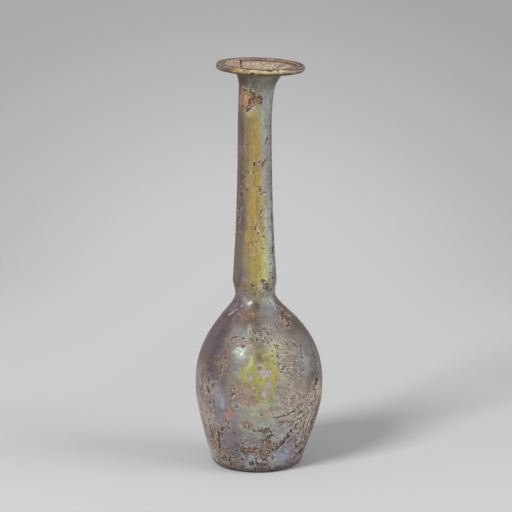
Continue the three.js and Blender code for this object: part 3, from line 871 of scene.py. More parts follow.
# %% Spots on the bulb
BULB_SPOTS = [
    # The mint spots at -20 degrees, 47 mm and at -13 degrees, 61.8 mm are painted highlights, and the rose
    # spot at -48 degrees, 32 mm is partly a painted highlight.
    (-20, 47.0, 6, 2.0, "mint", 0.55), (-13, 61.8, 7, 0.8, "mint", 0.8), (-11, 53.6, 5, 1.2, "sage", 0.5),
    (-3, 54.4, 4, 3.4, "mauve", 0.6), (-22, 49.8, 9, 1.0, "blush", 0.8), (-17, 58.2, 13, 1.7, "rust", 0.5),
    (-48, 32, 5, 2.4, "rose", 0.5), (24, 58.6, 8, 0.7, "blush", 0.5), (38, 60.4, 7, 1.2, "lavender", 0.6),
    (43, 55.4, 4, 2.4, "clay", 0.6), (60, 59.6, 8, 1.2, "rust", 0.4), (46, 62.0, 3, 2.4, "mint", 0.5),
    (13, 62.0, 4, 2.0, "russet", 0.45), (4, 10.8, 2.2, 0.5, "straw", 0.5),
    (-2, 8.6, 2.6, 0.4, "straw", 0.5), (11.5, 7.4, 1.0, 1.6, "straw", 0.45),
    (12.5, 13.2, 0.9, 1.4, "straw", 0.45), (5, 13.4, 0.8, 1.2, "umber", 0.6),
    (-10, 8.9, 2.6, 0.5, "umber", 0.6), (-20, 8.0, 4.0, 0.8, "umber", 0.4),
    (20, 9.9, 3.0, 0.4, "umber", 0.6), (-56, 42.0, 5, 2.0, "russet", 0.8), (-36, 42.6, 4, 2.0, "rust", 0.6),
    (-36, 42.4, 1.6, 0.6, "sand", 0.7), (-36, 38.6, 3, 1.6, "rust", 0.5), (-52, 38.4, 4, 2.0, "plum", 0.6),
    (-52, 35.4, 4, 1.2, "lavender", 0.6), (-20, 40.0, 3, 1.4, "lavender", 0.5),
    (-10, 42.8, 3.4, 2.4, "pear", 0.6), (-8, 39.8, 2.6, 1.6, "lime", 0.4),
    (-2, 46.8, 3.0, 1.6, "rust", 0.3), (12.5, 42.4, 3.0, 3.4, "lime", 0.3),
    (12, 38.6, 1.7, 1.8, "gold", 0.5), (3.4, 37.0, 3.4, 0.9, "lime", 0.8),
    (10.5, 36.2, 1.6, 2.0, "lime", 0.4), (3, 29.8, 4, 1.0, "lime", 0.5), (17, 47.6, 4.0, 2.6, "pear", 0.65),
    (19, 40.8, 3.0, 2.6, "olive", 0.4), (-24, 36.0, 4, 2.2, "khaki", 0.5),
    (20, 36.0, 2.0, 3.0, "blush", 0.45), (34, 42.4, 7, 3.4, "blush", 0.35),
    (30, 36.0, 5, 2.2, "sage", 0.45), (52, 40.6, 5, 3.6, "steel", 0.5), (56, 35.4, 9, 2.8, "mauve", 0.55),
    (-58, 36.6, 8, 2.2, "mauve", 0.6), (62, 34.8, 6, 1.8, "mauve", 0.5), (50, 33.0, 4, 1.5, "rust", 0.4),
    (-41, 31.0, 4.0, 4.6, "lavender", 0.5), (-34, 28.0, 3.0, 2.0, "steel", 0.6),
    (-44, 26.0, 3.4, 2.4, "lavender", 0.6), (-37, 21.4, 3.4, 2.6, "lavender", 0.6),
    (-25, 21.6, 2.4, 3.0, "lavender", 0.6), (-42, 18.6, 3.0, 2.4, "rosewood", 0.5),
    (-30, 23.4, 4.6, 2.4, "amber", 0.2), (-13, 20.2, 5.5, 1.4, "clay", 0.4),
    (-14, 23.6, 5.0, 1.6, "steel", 0.6), (-58, 21.0, 6, 2.4, "sage", 0.5),
    (-45, 12.2, 2.4, 4.6, "rust", 0.6), (-50, 8.0, 4.0, 2.2, "rust", 0.5),
    (-55, 14.0, 2.0, 3.0, "mauve", 0.35), (-52, 11.2, 2.2, 1.8, "khaki", 0.4),
    (-36, 16.0, 3.0, 1.6, "steel", 0.3), (-24, 18.0, 4.0, 1.8, "heather", 0.5),
    (-24, 13.6, 4.0, 2.0, "lavender", 0.3), (-12, 15.6, 9, 1.6, "slate", 0.6),
    (-6, 5.8, 8, 1.5, "denim", 0.7), (-3, 5.6, 3.4, 0.9, "mint", 0.5), (-18, 10.4, 6, 1.2, "mauve", 0.3),
    (-26, 6.4, 6, 1.8, "mauve", 0.4), (20, 6.4, 5, 2.6, "mint", 0.4), (38, 11.2, 6, 1.6, "lavender", 0.6),
    (36, 15.6, 6, 1.6, "lilac", 0.5), (33, 17.6, 6, 1.6, "denim", 0.6), (-9, 4.2, 8, 1.5, "denim", 0.8),
    (24, 17.6, 6, 1.6, "steel", 0.6), (-16, 6.6, 5, 1.6, "dusk", 0.4), (48, 11.8, 5, 1.4, "lilac", 0.5),
    (49, 12.6, 6, 2.8, "shell", 0.8), (58, 6.6, 5, 2.2, "russet", 0.5), (-32, 3.4, 14, 1.4, "russet", 0.7),
]
print(len(BULB_SPOTS), "spots on the bulb")

# %% Clouds on the neck
# The mauve clouds at -74 and 86 degrees are partly painted shade at the outline; the broad steel cloud down
# the right at 54 degrees is partly a painted reflection, and the chalk clouds at 45 degrees are partly
# painted highlights.
NECK_CLOUDS = [
    (-62, 104, 32, 60, "brown", 0.9), (-46, 93, 14, 10, "mauve", 0.8), (-45, 106.6, 11, 5, "russet", 0.95),
    (-48, 71, 14, 8, "mauve", 0.75), (-48, 129.4, 13, 6, "mauve", 0.9), (-74, 104, 18, 60, "mauve", 0.35),
    (28, 104, 18, 60, "wheat", 0.9), (54, 104, 30, 60, "steel", 0.95), (1, 108, 18, 34, "ochre", 0.95),
    (40, 124, 22, 10, "steel", 0.5), (-26, 132, 30, 6, "khaki", 0.5), (10, 136, 14, 5, "sage", 0.85),
    (40, 136, 22, 5, "steel", 0.9), (-52, 80, 18, 8, "ash", 0.35), (52, 82, 14, 14, "mint", 0.7),
    (34, 77, 13, 9, "pear", 0.85), (36, 99, 9, 3, "wheat", 0.6), (31, 90.4, 9, 4.4, "straw", 0.75),
    (8, 77, 18, 11, "honey", 0.95), (26, 75, 6, 7, "pear", 0.6), (-17, 86.6, 11, 2.6, "gold", 0.8),
    (-12, 94, 12, 4, "ochre", 0.6), (66, 81, 8, 7, "ash", 0.8), (86, 104, 13, 60, "mauve", 0.9),
    (-12, 68, 26, 2.4, "khaki", 0.5), (46, 70, 14, 4, "slate", 0.5), (-14, 64.6, 30, 1.6, "ground", 0.7),
    (2, 142, 44, 2.6, "slate", 0.9), (-60, 141.6, 18, 2.4, "brown", 0.6), (-45, 104, 9, 60, "umber", 0.22),
    (-45, 106, 7, 3.6, "umber", 0.3), (-30, 71, 9, 4.4, "dusk", 0.5), (2, 97.4, 9, 3.4, "umber", 0.16),
    (38, 98.2, 10, 2.2, "slate", 0.4), (-60, 92, 7, 3.4, "umber", 0.35), (45, 122, 7, 3.2, "chalk", 0.25),
    (45, 83.4, 7, 5.0, "chalk", 0.2), (30, 130.4, 8, 3.0, "mint", 0.35), (62, 130.4, 7, 4.0, "steel", 0.45),
    (62, 91.6, 7, 4.0, "steel", 0.4), (24, 68.2, 10, 1.9, "chalk", 0.5),
]
print(len(NECK_CLOUDS), "clouds on the neck")

# %% Spots on the neck
# The mint and cream spots at 31 to 32 degrees, about 91 mm up, are partly a painted highlight.
NECK_SPOTS = [
    (-34, 136.2, 19, 2.2, "amber", 0.7), (-48, 138.6, 10, 1.4, "bronze", 0.5),
    (-58, 136.2, 14, 2.0, "clay", 0.6), (-38, 132.4, 9, 0.9, "bronze", 0.5),
    (-14, 131.4, 14, 1.2, "wheat", 0.5), (30, 136.8, 13, 3.2, "denim", 0.55),
    (-22, 139.9, 16, 0.5, "straw", 0.4), (5, 139.6, 9, 0.7, "sage", 0.6), (2, 122, 8, 9, "bronze", 0.3),
    (6, 122, 3.4, 7, "amber", 0.2), (-6, 97, 14, 6, "bronze", 0.4), (-15, 87.2, 10, 4, "bronze", 0.6),
    (32, 91.2, 9, 4.0, "mint", 0.35), (31, 91.4, 8, 2.6, "cream", 0.6), (46, 80, 9, 5, "mint", 0.5),
    (21, 68, 12, 2.2, "sage", 0.8), (62, 71, 10, 4, "bark", 0.6), (1, 96, 5, 7, "gold", 0.25),
    (-28, 107, 5, 4, "blush", 0.25), (34, 114, 8, 1.4, "blush", 0.35), (40, 95.0, 8, 2.0, "mint", 0.5),
    (58, 90.0, 8, 3.0, "denim", 0.3), (27, 92.8, 7, 1.2, "amber", 0.35), (14, 93.0, 6, 2.0, "straw", 0.4),
    (26, 88.0, 6, 3.0, "wheat", 0.5), (-14, 83.2, 8, 1.8, "clay", 0.3), (30, 87.0, 7, 1.8, "straw", 0.4),
    (20, 68.2, 9, 1.6, "chalk", 0.35), (-46, 137.2, 6, 2.0, "russet", 0.35),
    (30, 114.0, 5, 2.4, "straw", 0.35), (4, 76.0, 6, 4.0, "bronze", 0.35), (26, 74.0, 5, 5.0, "pear", 0.5),
    (11, 71.0, 8, 2.0, "lime", 0.25), (42, 77.4, 6, 2.6, "mint", 0.5), (64, 81.0, 7, 1.8, "mauve", 0.5),
    (30, 68.6, 6, 1.5, "clay", 0.4), (50, 67.2, 10, 0.9, "rust", 0.45), (66, 68.8, 8, 1.2, "brown", 0.5),
    (42, 70.4, 6, 1.2, "sage", 0.6), (-40, 66.4, 12, 1.2, "steel", 0.4),
    (-36, 118.8, 1.8, 0.4, "cream", 0.6),
]
print(len(NECK_SPOTS), "spots on the neck")

# %% Clouds, spots and marks in the throat and on the lip
# The brown, slate and bark clouds under the flare and the plum band at 146.2 mm are painted shadow cast by
# the rim.
THROAT_CLOUDS = [
    (-54, 143.6, 22, 2.6, "brown", 0.8), (-4, 143.4, 30, 2.8, "slate", 0.8),
    (56, 143.4, 20, 2.8, "bark", 0.8), (16, 143.4, 10, 1.6, "steel", 0.5), (30, 142.2, 9, 1.4, "dusk", 0.4),
    (-30, 145.6, 34, 1.0, "rust", 0.5), (0, 146.2, 90, 0.6, "plum", 0.8),
    (60, 145.4, 26, 1.4, "blush", 0.3),
]
LIP_CLOUDS = [
    (180, 148, 110, 2.4, "russet", 0.95), (-74, 147.8, 32, 2.4, "ash", 0.95),
    (-44, 147.8, 11, 2.4, "bark", 0.9), (6, 147.8, 38, 2.4, "khaki", 0.6),
    (8, 147.9, 36, 1.0, "wheat", 0.9), (10, 148.1, 24, 0.5, "straw", 0.5),
    (-30, 147.9, 10, 1.6, "bronze", 0.9), (66, 147.9, 27, 2.4, "tan", 0.95),
]
# The umber band at 146.9 mm is painted shade under the lip's rounding, the thin umber lines higher up are
# painted shadow along the lip's inner edge, and the cream and chalk lines at 148.2 to 148.3 mm are painted
# highlights on its rounded top.
LIP_SPOTS = [
    (-26, 147.8, 4, 0.5, "lime", 0.4), (-31, 148.2, 4, 0.3, "gold", 0.6), (-19, 148.0, 5, 0.5, "clay", 0.7),
    (20, 148.3, 16, 0.25, "cream", 0.6), (-11, 148.3, 4, 0.25, "cream", 0.4),
    (40, 148.2, 10, 0.4, "chalk", 0.3), (0, 146.9, 179, 0.5, "umber", 0.8),
    (-62, 148.7, 24, 0.4, "blush", 0.8), (-60, 148.2, 26, 0.25, "umber", 0.85),
    (58, 148.7, 22, 0.3, "blush", 0.8), (56, 148.35, 22, 0.25, "umber", 0.85),
    (6, 148.75, 44, 0.25, "umber", 0.85), (172, 148.6, 92, 0.6, "umber", 0.8),
]
# The umber crown clouds at 20 and 96 degrees are painted shade where the crown meets the lower crust.
CROWN_CLOUDS = [
    (180, 148, 75, 9, "russet", 0.85), (-92, 148, 34, 9, "blush", 0.9), (-44, 148, 16, 9, "bronze", 0.7),
    (20, 148, 40, 9, "umber", 0.9), (96, 148, 30, 9, "umber", 0.85), (60, 148, 12, 9, "blush", 0.7),
]
LIP_MARKS = [
    (-10, 147.4, 0.7, 0.3, 0), (-22, 147.9, 0.3, 0.3, 0), (-33, 148.2, 0.4, 0.3, 0),
    (24, 148.7, 0.5, 0.2, 0), (4, 148.6, 0.35, 0.25, 0), (50, 147.4, 0.4, 0.2, 0), (76, 147.6, 0.6, 0.3, 0),
    (-62, 147.6, 0.5, 0.3, 0), (140, 148.0, 1.4, 0.3, 0), (-150, 147.8, 1.0, 0.3, 0),
]
print(len(THROAT_CLOUDS), "clouds in the throat and", len(LIP_CLOUDS + CROWN_CLOUDS), "on the lip")

# %% Stains under the thinned patches, and polished places
UNDER_SPOTS = [
    (4, 37, 13, 9, "lilac", 0.95), (16, 47, 6, 3, "pear", 0.7), (-12, 31, 14, 6, "blush", 0.8),
    (-30, 22.6, 8, 3.4, "clay", 0.9), (-30, 22.8, 5, 1.6, "amber", 0.6), (-13, 20.2, 7, 1.8, "clay", 0.9),
    (3, 25, 6, 1.8, "blush", 0.6), (46, 56, 10, 3, "clay", 0.6), (27, 92.8, 9, 2, "wheat", 0.8),
    (-14, 83, 9, 2, "honey", 0.9), (12, 89, 8, 3, "straw", 0.9), (-4, 136, 24, 3, "clay", 0.9),
]
POLISHED = [
    (-20, 46.4, 8, 3.4, 0.6), (-16, 49.0, 10, 2.4, 0.3), (-13, 61.9, 7, 0.8, 0.9),
    (-51, 34.8, 2.0, 0.7, 1.0), (-47, 31.0, 2.4, 0.6, 0.9), (-48, 29.0, 1.8, 0.4, 0.7),
    (-30, 148.2, 7, 0.7, 0.5), (-4, 5.2, 5, 0.9, 0.5),
]
print(len(UNDER_SPOTS), "stains under the thinned patches and", len(POLISHED), "polished places")

# %% Dabs of tint round the back
BACK_TINTS = (
    "slate", "olive", "lavender", "russet", "tan", "mauve", "sage", "khaki",
    "blush", "steel", "brown", "sand", "ochre", "mint", "denim",
)
BACK_STRENGTHS = (0.5, 0.95)
TINT_SEED = 5


def back_dabs(draw, count, levels, turns, heights):
    """Random dabs on the side that the front view doesn't show."""
    return [
        (
            draw.uniform(HIDDEN_FROM, HIDDEN_TO),
            draw.uniform(*levels),
            draw.uniform(*turns),
            draw.uniform(*heights),
            draw.choice(BACK_TINTS),
            draw.uniform(*BACK_STRENGTHS),
        )
        for _ in range(count)
    ]


draw = random.Random(TINT_SEED)
BULB_CLOUDS = back_dabs(draw, 44, (3, 62), (9, 24), (2.5, 9)) + BULB_CLOUDS
NECK_CLOUDS = back_dabs(draw, 26, (66, 138), (12, 28), (6, 26)) + NECK_CLOUDS
THROAT_CLOUDS = back_dabs(draw, 8, (140, 147), (14, 34), (1, 3)) + THROAT_CLOUDS
BULB_SPOTS += back_dabs(draw, 60, (3, 62), (2, 7), (0.6, 3))
NECK_SPOTS += back_dabs(draw, 30, (66, 138), (3, 9), (0.8, 5))
LIP_SPOTS += back_dabs(draw, 16, (146.8, 148.8), (5, 16), (0.4, 1))
print(len(BULB_CLOUDS + BULB_SPOTS + NECK_CLOUDS + NECK_SPOTS), "dabs of colour")

# %% [markdown]
# Making a skin
#
# Each skin is spun from the bottle's outside alone, as an open sheet. Its relief is worked in while it is
# one sheet thick: slow swells, terraces where it is worn, the lower level of the thinned patches, grooves,
# threads, and edges that curl up round a lost flake. Then the faces in the bare patches are deleted, the
# ragged borders are relaxed, and Solidify gives the sheet its thickness inwards, so that the glass stays
# free.

# %% Cut the lost flakes out
CURL_WIDTH = 0.8
RELAXING = 0.5
RELAXING_ROUNDS = 2


def cut_bare(piece, bare):
    """Deletes the faces inside the bare patches and relaxes the borders that are left."""
    faces = piece.data.polygons
    corners = np.empty(len(faces) * 4, int)
    piece.data.loops.foreach_get("vertex_index", corners)
    lost = bare[corners.reshape(-1, 4)].mean(axis=1) > 0
    pick(piece)
    bpy.ops.object.mode_set(mode="EDIT")
    bpy.ops.mesh.select_mode(type="FACE")
    bpy.ops.mesh.select_all(action="DESELECT")
    bpy.ops.object.mode_set(mode="OBJECT")
    faces.foreach_set("select", lost)
    bpy.ops.object.mode_set(mode="EDIT")
    bpy.ops.mesh.delete(type="FACE")
    bpy.ops.mesh.select_mode(type="VERT")
    bpy.ops.mesh.select_non_manifold(extend=False)
    bpy.ops.object.mode_set(mode="OBJECT")
    border = np.empty(len(piece.data.vertices), bool)
    piece.data.vertices.foreach_get("select", border)
    bpy.ops.object.mode_set(mode="EDIT")
    bpy.ops.mesh.select_all(action="DESELECT")
    bpy.ops.object.mode_set(mode="OBJECT")
    left = np.empty(len(border))
    piece.data.attributes["bare"].data.foreach_get("value", left)
    piece.data.vertices.foreach_set("select", border & (left > -CURL_WIDTH))
    bpy.ops.object.mode_set(mode="EDIT")
    bpy.ops.mesh.vertices_smooth(factor=RELAXING, repeat=RELAXING_ROUNDS)
    bpy.ops.object.mode_set(mode="OBJECT")
    return int(lost.sum())


# %% Give an open sheet its thickness
SMOOTH_BELOW = math.radians(50)


def thicken(piece, label, thickness):
    """Thickens a sheet inwards, bends it as the maker's hand did, and smooths all but its sharp edges."""
    wall = piece.modifiers.new(label, "SOLIDIFY")
    wall.thickness = thickness * MM
    wall.offset = -1
    pick(piece)
    bpy.ops.object.modifier_apply(modifier=wall.name)
    bend_by_hand(piece)
    bpy.ops.object.shade_smooth_by_angle(angle=SMOOTH_BELOW)


# %% Relief of the film
SWELL_HEIGHT, SWELL_SIZE, SWELL_SEED = 0.05, 7, 33
TERRACES = 5
TERRACE_HEIGHT, TERRACE_SIZE, TERRACE_SEED = 0.08, 8, 34
TERRACE_FLATNESS = 1.8
CRUMBLE, CRUMBLE_SIZE, CRUMBLE_SEED = 0.5, 1.0, 35
RELIEF = {
    "thinned": (-0.05, (-0.15, 0.25)),
    "marked": (-0.1, (-0.2, 0.15)),
    "cracked": (-0.12, (-0.2, 0.1)),
    "threaded": (0.08, (-0.2, 0.1)),
    "bare": (0.08, (-CURL_WIDTH, 0)),
}


def relief_of(places, fields):
    """How far each place stands out: swells, worn terraces, then every kind's height inside its border."""
    relief = SWELL_HEIGHT * wander(places, SWELL_SIZE, SWELL_SEED)
    terraces = wander(places * (1, 1, TERRACE_FLATNESS), TERRACE_SIZE, TERRACE_SEED) * TERRACES
    crumbled = CRUMBLE * wander(places, CRUMBLE_SIZE, CRUMBLE_SEED)
    relief += TERRACE_HEIGHT * fields["worn"] * ((terraces % 1) - 0.5 + crumbled)
    for kind, (height, border) in RELIEF.items():
        relief += height * ease(fields[kind], *border)
    return relief


# %% Make one skin
FILM_THICKNESS = 0.25
RAGGED, RAG_SIZE, RAG_SEED = 0.5, 1.5, 31
FINE_RAGS, FINE_RAG_SIZE, FINE_RAG_SEED = 1.1, 0.7, 32
PATCH_RAGS = {"bare": 1, "thinned": 1.2, "worn": 2, "marked": 0.35}
LINE_HALF_WIDTHS = {"cracked": 0.3, "threaded": 0.16}
LINE_RAGS = {"cracked": 0.35, "threaded": 0.1}
WORN_BORDER = (-1.2, 1.0)
POLISH_BORDER = (0.4, 1.3)


def polish_at(places):
    """How polished each place is, from 0 to 1."""
    turn, polish = azimuths(places), np.zeros(len(places))
    for azimuth, level, half_turn, half_height, strength in POLISHED:
        far = np.hypot((turn - azimuth) / half_turn, (places[:, 2] - level) / half_height)
        polish = np.maximum(polish, strength * (1 - ease(far, *POLISH_BORDER)))
    return polish


def skin(name, points, sides, layout, colours):
    """A film skin spun from an outline, with the patches and lines of a layout."""
    piece = turned(name, points, sides)
    turn_outwards(piece)
    places = places_of(piece)
    fine = FINE_RAGS * wander(places, FINE_RAG_SIZE, FINE_RAG_SEED)
    ragged = RAGGED * (wander(places, RAG_SIZE, RAG_SEED) + fine)
    fields = {"polish": polish_at(places)}
    for kind, rags in PATCH_RAGS.items():
        fields[kind] = depth_in(places, layout.get(kind, ())) + rags * ragged
    for kind, rags in LINE_RAGS.items():
        fields[kind] = depth_on(places, layout.get(kind, ()), LINE_HALF_WIDTHS[kind]) + rags * ragged
    fields["worn"] = ease(fields["worn"], *WORN_BORDER)
    for field, values in fields.items():
        keep(piece, field, values)
    # The stain holds the film's own colours and also painted shade and painted highlights.
    stain_and_painted_light = colours(places)
    keep_colour(piece, "stain_and_painted_light", stain_and_painted_light)
    keep_colour(piece, "under", paint(places, (stain_and_painted_light + linear(TINTS["blush"])) / 2, (), UNDER_SPOTS))
    move_to(piece, places + normals_of(piece) * relief_of(places, fields)[:, None])
    lost = cut_bare(piece, fields["bare"])
    thicken(piece, "film", FILM_THICKNESS)
    print(f"{name}: {len(piece.data.polygons)} faces, {lost} lost")
    return piece


# %% Colours and layouts of the skins
WAIST_BLEND = (62.6, 66.0)
CROWN_BORDER = (14.6, 15.2)
# A thin line of painted shadow along the lip's inner edge, where the crust lies lower.
PAINTED_SHADE_LINE, PAINTED_SHADE_LINE_HALF = 14.8, 0.4
PAINTED_SHADE_LINE_STRENGTH = 0.85
NECK_PAINT_DRIFT = 0.6
LIP_PAINT_DRIFT = 0.3

KINDS = ("bare", "thinned", "worn", "marked", "cracked", "threaded")
bulb_layout = dict(zip(KINDS, (BULB_BARE, BULB_THINNED, BULB_WORN, BULB_MARKS, BULB_CRACKS, BULB_THREADS)))
neck_layout = dict(zip(KINDS, (NECK_BARE, NECK_THINNED, NECK_WORN, NECK_MARKS, NECK_CRACKS, NECK_THREADS)))
lip_layout = {"marked": LIP_MARKS}


def body_colours(places):
    """The bulb's colours below the waist and the neck's above it, with a soft change between them."""
    bulb = paint(places, "ground", BULB_CLOUDS, BULB_SPOTS)
    neck = paint(places, "khaki", NECK_CLOUDS + THROAT_CLOUDS, NECK_SPOTS, NECK_PAINT_DRIFT)
    return bulb + (neck - bulb) * ease(places[:, 2], *WAIST_BLEND)[:, None]


def lip_colours(places):
    """The folded edge's colours, those of its crown on top, and a line of painted shadow along its inner
    edge.
    """
    colours = paint(places, "brown", LIP_CLOUDS, LIP_SPOTS, LIP_PAINT_DRIFT)
    reach = np.hypot(places[:, 0], places[:, 1])
    crown = paint(places, "brown", CROWN_CLOUDS)
    colours += (crown - colours) * (1 - ease(reach, *CROWN_BORDER))[:, None]
    painted_shade_line = PAINTED_SHADE_LINE_STRENGTH * np.exp(-(((reach - PAINTED_SHADE_LINE) / PAINTED_SHADE_LINE_HALF) ** 2))
    return colours + (linear(TINTS["umber"]) - colours) * painted_shade_line[:, None]


print(sum(len(patches) for patches in bulb_layout.values()), "patches and lines on the bulb, all round")

# %% The four skins
FOOT_CLEARANCE = 0.35
BULB_STEP, BULB_SIDES = 0.46, 300
NECK_STEP, NECK_SIDES = 0.32, 144
RIM_STEP, RIM_SIDES = 0.34, 230
LIP_STEP, LIP_SIDES = 0.2, 320
CROWN_INNER = 14.2


bulb_line = between(trace(BODY, BULB_STEP), FOOT_CLEARANCE, WAIST[1])
neck_line = between(trace(TUBE, NECK_STEP), WAIST[1], NECK[1])
lip_top = (LIP_CENTRE[0], LIP_CENTRE[1] + LIP_ROUND[1])
lip_line = trace(LIP + [line(lip_top, (CROWN_INNER, lip_top[1]))], LIP_STEP)
film_bulb = skin("film_skin_bulb", bulb_line, BULB_SIDES, bulb_layout, body_colours)
film_neck = skin("film_skin_neck", neck_line, NECK_SIDES, neck_layout, body_colours)
film_rim = skin("film_skin_rim", trace(FUNNEL, RIM_STEP), RIM_SIDES, neck_layout, body_colours)
film_lip = skin("film_skin_lip", lip_line, LIP_SIDES, lip_layout, lip_colours)

# %% [markdown]
# The crust
#
# Salts and soil have dried in the funnel of the rim in wavy, nested ridges, like the lines in an agate. On
# the left they fill the corner up to the folded edge, and a brown crack parts that filling from the rest.
# The lining is spun, its ridges are worked in as heights, and Solidify backs it.

# %% Spin the lining of the mouth
CRUST_THICKNESS = 0.16
CRUST_GAP = 0.06
CRUST_STEP = 0.2
CRUST_SIDES = 240
BORE_MARGIN_RADIUS = 5.6
CRUST_EDGE = 13.15

funnel_fine = trace(FUNNEL, CRUST_STEP)
lining = inset(funnel_fine, cavity_depth(funnel_fine) + CRUST_GAP + CRUST_THICKNESS)
lining = lining[(lining[:, 0] > BORE_MARGIN_RADIUS) & (lining[:, 0] < CRUST_EDGE)]
crust = turned("crust_lining", lining, CRUST_SIDES)
if np.mean(normals_of(crust)[:, 2]) < 0:
    flip(crust)
places = places_of(crust)
x, y, z = places.T
radius = np.hypot(x, y)
print(f"the crust reaches from {radius.min():.1f} to {radius.max():.1f} mm from the axis")

# %% Where the crust cracks and fills the corner
CRACK_X = -7.1
CRACK_LEAN = -0.1
CRACK_MIDDLE_Y = 8
CRACK_WAVE, CRACK_WAVE_SIZE, CRACK_WAVE_SEED = 0.4, 2.4, 44
CRACK_HALF_WIDTH = 0.55
CRACK_FROM_RADIUS = (6.5, 8.5)
FILLED_BORDER = (0.2, 1.0)

crack_line = CRACK_X + CRACK_LEAN * (y - CRACK_MIDDLE_Y)
crack_line = crack_line + CRACK_WAVE * wander(places, CRACK_WAVE_SIZE, CRACK_WAVE_SEED)
filled = ease(crack_line - x, *FILLED_BORDER)
cracked = np.exp(-(((x - crack_line) / CRACK_HALF_WIDTH) ** 2)) * ease(radius, *CRACK_FROM_RADIUS)
print(f"the filling covers {filled.mean():.0%} of the crust")

# %% Ridges in nested rings
NEST_X = 10.5
LEFT_FLATNESS, RIGHT_FLATNESS = 1.1, 0.8
RIDGE_SPACING = 1.6
LEFT_WAVES = (0.5, 2.2, 41)
RIGHT_WAVES = (0.8, 2.6, 42)


def rings_round(centre_x, flatness, wave, size, seed):
    """How far each place lies from a nest of rings, with waves in them."""
    return np.hypot(x - centre_x, flatness * y) + wave * wander(places, size, seed)


left_rings = rings_round(-NEST_X, LEFT_FLATNESS, *LEFT_WAVES)
right_rings = rings_round(NEST_X, RIGHT_FLATNESS, *RIGHT_WAVES)
rings = np.where(x < crack_line, left_rings, right_rings)
ridges = np.sin(rings * math.tau / RIDGE_SPACING)
print(f"about {np.ptp(right_rings) / RIDGE_SPACING:.0f} rings on the right")

# %% Raise the ridges
RIDGE_HEIGHT = 0.07
LUMP_HEIGHT, LUMP_SIZE, LUMP_SEED = 0.07, 1.1, 43
FILL_HEIGHT = 0.6
FILL_FROM_RADIUS = (8.5, 12.0)
FILL_WAVE, FILL_WAVE_SIZE, FILL_WAVE_SEED = 0.3, 3, 45
CRUST_CRACK_DEPTH = 0.2

relief = RIDGE_HEIGHT * ridges + LUMP_HEIGHT * wander(places, LUMP_SIZE, LUMP_SEED)
fill_wave = 1 - FILL_WAVE * wander(places, FILL_WAVE_SIZE, FILL_WAVE_SEED)
relief += filled * FILL_HEIGHT * ease(radius, *FILL_FROM_RADIUS) * fill_wave
relief -= CRUST_CRACK_DEPTH * cracked
move_to(crust, np.stack([x, y, z + relief], axis=1))

print(f"the crust rises up to {relief.max():.1f} mm")

# %% Keep what its finish reads, and back it
NESTED_X, NESTED_RADIUS = (3, 7), (7, 9)
MARGIN_RADIUS = (9.0, 12.6)
MARGIN_BACK, MARGIN_RIGHT, MARGIN_LEFT_END = (1, 6), (6, 10), (-13, -6)
# The shaded field marks where painted shade darkens the crust's front edge, which lies low beside the lip.
SHADED_RADIUS, SHADED_FRONT = (10.6, 12.0), (-2, -8)

margin_side = np.maximum(ease(y, *MARGIN_BACK), ease(x, *MARGIN_RIGHT)) * ease(x, *MARGIN_LEFT_END)
crust_fields = {
    "ridges": ridges,
    "cracked": cracked,
    "filled": filled,
    "nested": ease(x, *NESTED_X) * ease(radius, *NESTED_RADIUS),
    "margin": ease(radius, *MARGIN_RADIUS) * margin_side,
    "shaded": ease(radius, *SHADED_RADIUS) * ease(y, *SHADED_FRONT),
}
for field, values in crust_fields.items():
    keep(crust, field, values)
thicken(crust, "backing", CRUST_THICKNESS)
print(f"crust: {len(crust.data.polygons)} faces")

# %% [markdown]
# Finishes
#
# The finishes share a few effects, each a node group built once: clouding, which is soft mottling, pitting,
# which is a scatter of small dark pits, grain, a fine roughness, and terracing, the contour lines that a
# stack of broken layers shows. The film is satin, with polished places where it gleams; the edges of its
# holes are darkened partly as painted shade, with lines of painted highlight beside them. The glass under it
# is dull, brown in the body, warmer in the neck and amber in the mouth, with chalky flecks that are partly
# painted glints. The crust is dry and matte, biscuit and tan, with painted highlights on its crests, a darker
# margin where soil stained it, and painted shade along its front edge by the lip.

# %% Helpers for node trees
def add(tree, kind, inputs=None, **settings):
    """Adds a node, sets its settings, and fills its inputs with values or with other nodes' outputs."""
    made = tree.nodes.new(kind)
    for name, value in settings.items():
        setattr(made, name, value)
    for key, value in (inputs or {}).items():
        if isinstance(value, bpy.types.NodeSocket):
            tree.links.new(value, made.inputs[key])
        else:
            made.inputs[key].default_value = value
    return made


def calc(tree, operation, *values):
    return add(tree, "ShaderNodeMath", dict(enumerate(values)), operation=operation).outputs[0]


def times(tree, first, second):
    return calc(tree, "MULTIPLY", first, second)


def span(tree, value, low, high, to_low=0.0, to_high=1.0):
    """Maps a value smoothly from one range to another."""
    ranges = {"Value": value, "From Min": low, "From Max": high, "To Min": to_low, "To Max": to_high}
    return add(tree, "ShaderNodeMapRange", ranges, interpolation_type="SMOOTHSTEP").outputs[0]


def blend(tree, factor, first, second):
    """Mixes two colours."""
    sockets = {0: factor, 6: first, 7: second}
    return add(tree, "ShaderNodeMix", sockets, data_type="RGBA").outputs[2]


def brighten(tree, colour, factor):
    """A colour made lighter or darker by a factor."""
    return add(tree, "ShaderNodeVectorMath", {0: colour, "Scale": factor}, operation="SCALE").outputs[0]


def rgba(tint):
    return (*linear(TINTS[tint]), 1.0)


def tinted(tree, colour, tint, mask, share=None):
    """A colour with a tint laid over it where a mask is high, in full or at a share of the mask."""
    return blend(tree, mask if share is None else times(tree, mask, share), colour, rgba(tint))


def effect(name, inputs, outputs):
    """An empty node group with named inputs and outputs, and its two end nodes."""
    tree = bpy.data.node_groups.new(name, "ShaderNodeTree")
    for label, kind in inputs:
        tree.interface.new_socket(label, in_out="INPUT", socket_type=kind)
    for label, kind in outputs:
        tree.interface.new_socket(label, in_out="OUTPUT", socket_type=kind)
    return tree, tree.nodes.new("NodeGroupInput").outputs, tree.nodes.new("NodeGroupOutput").inputs


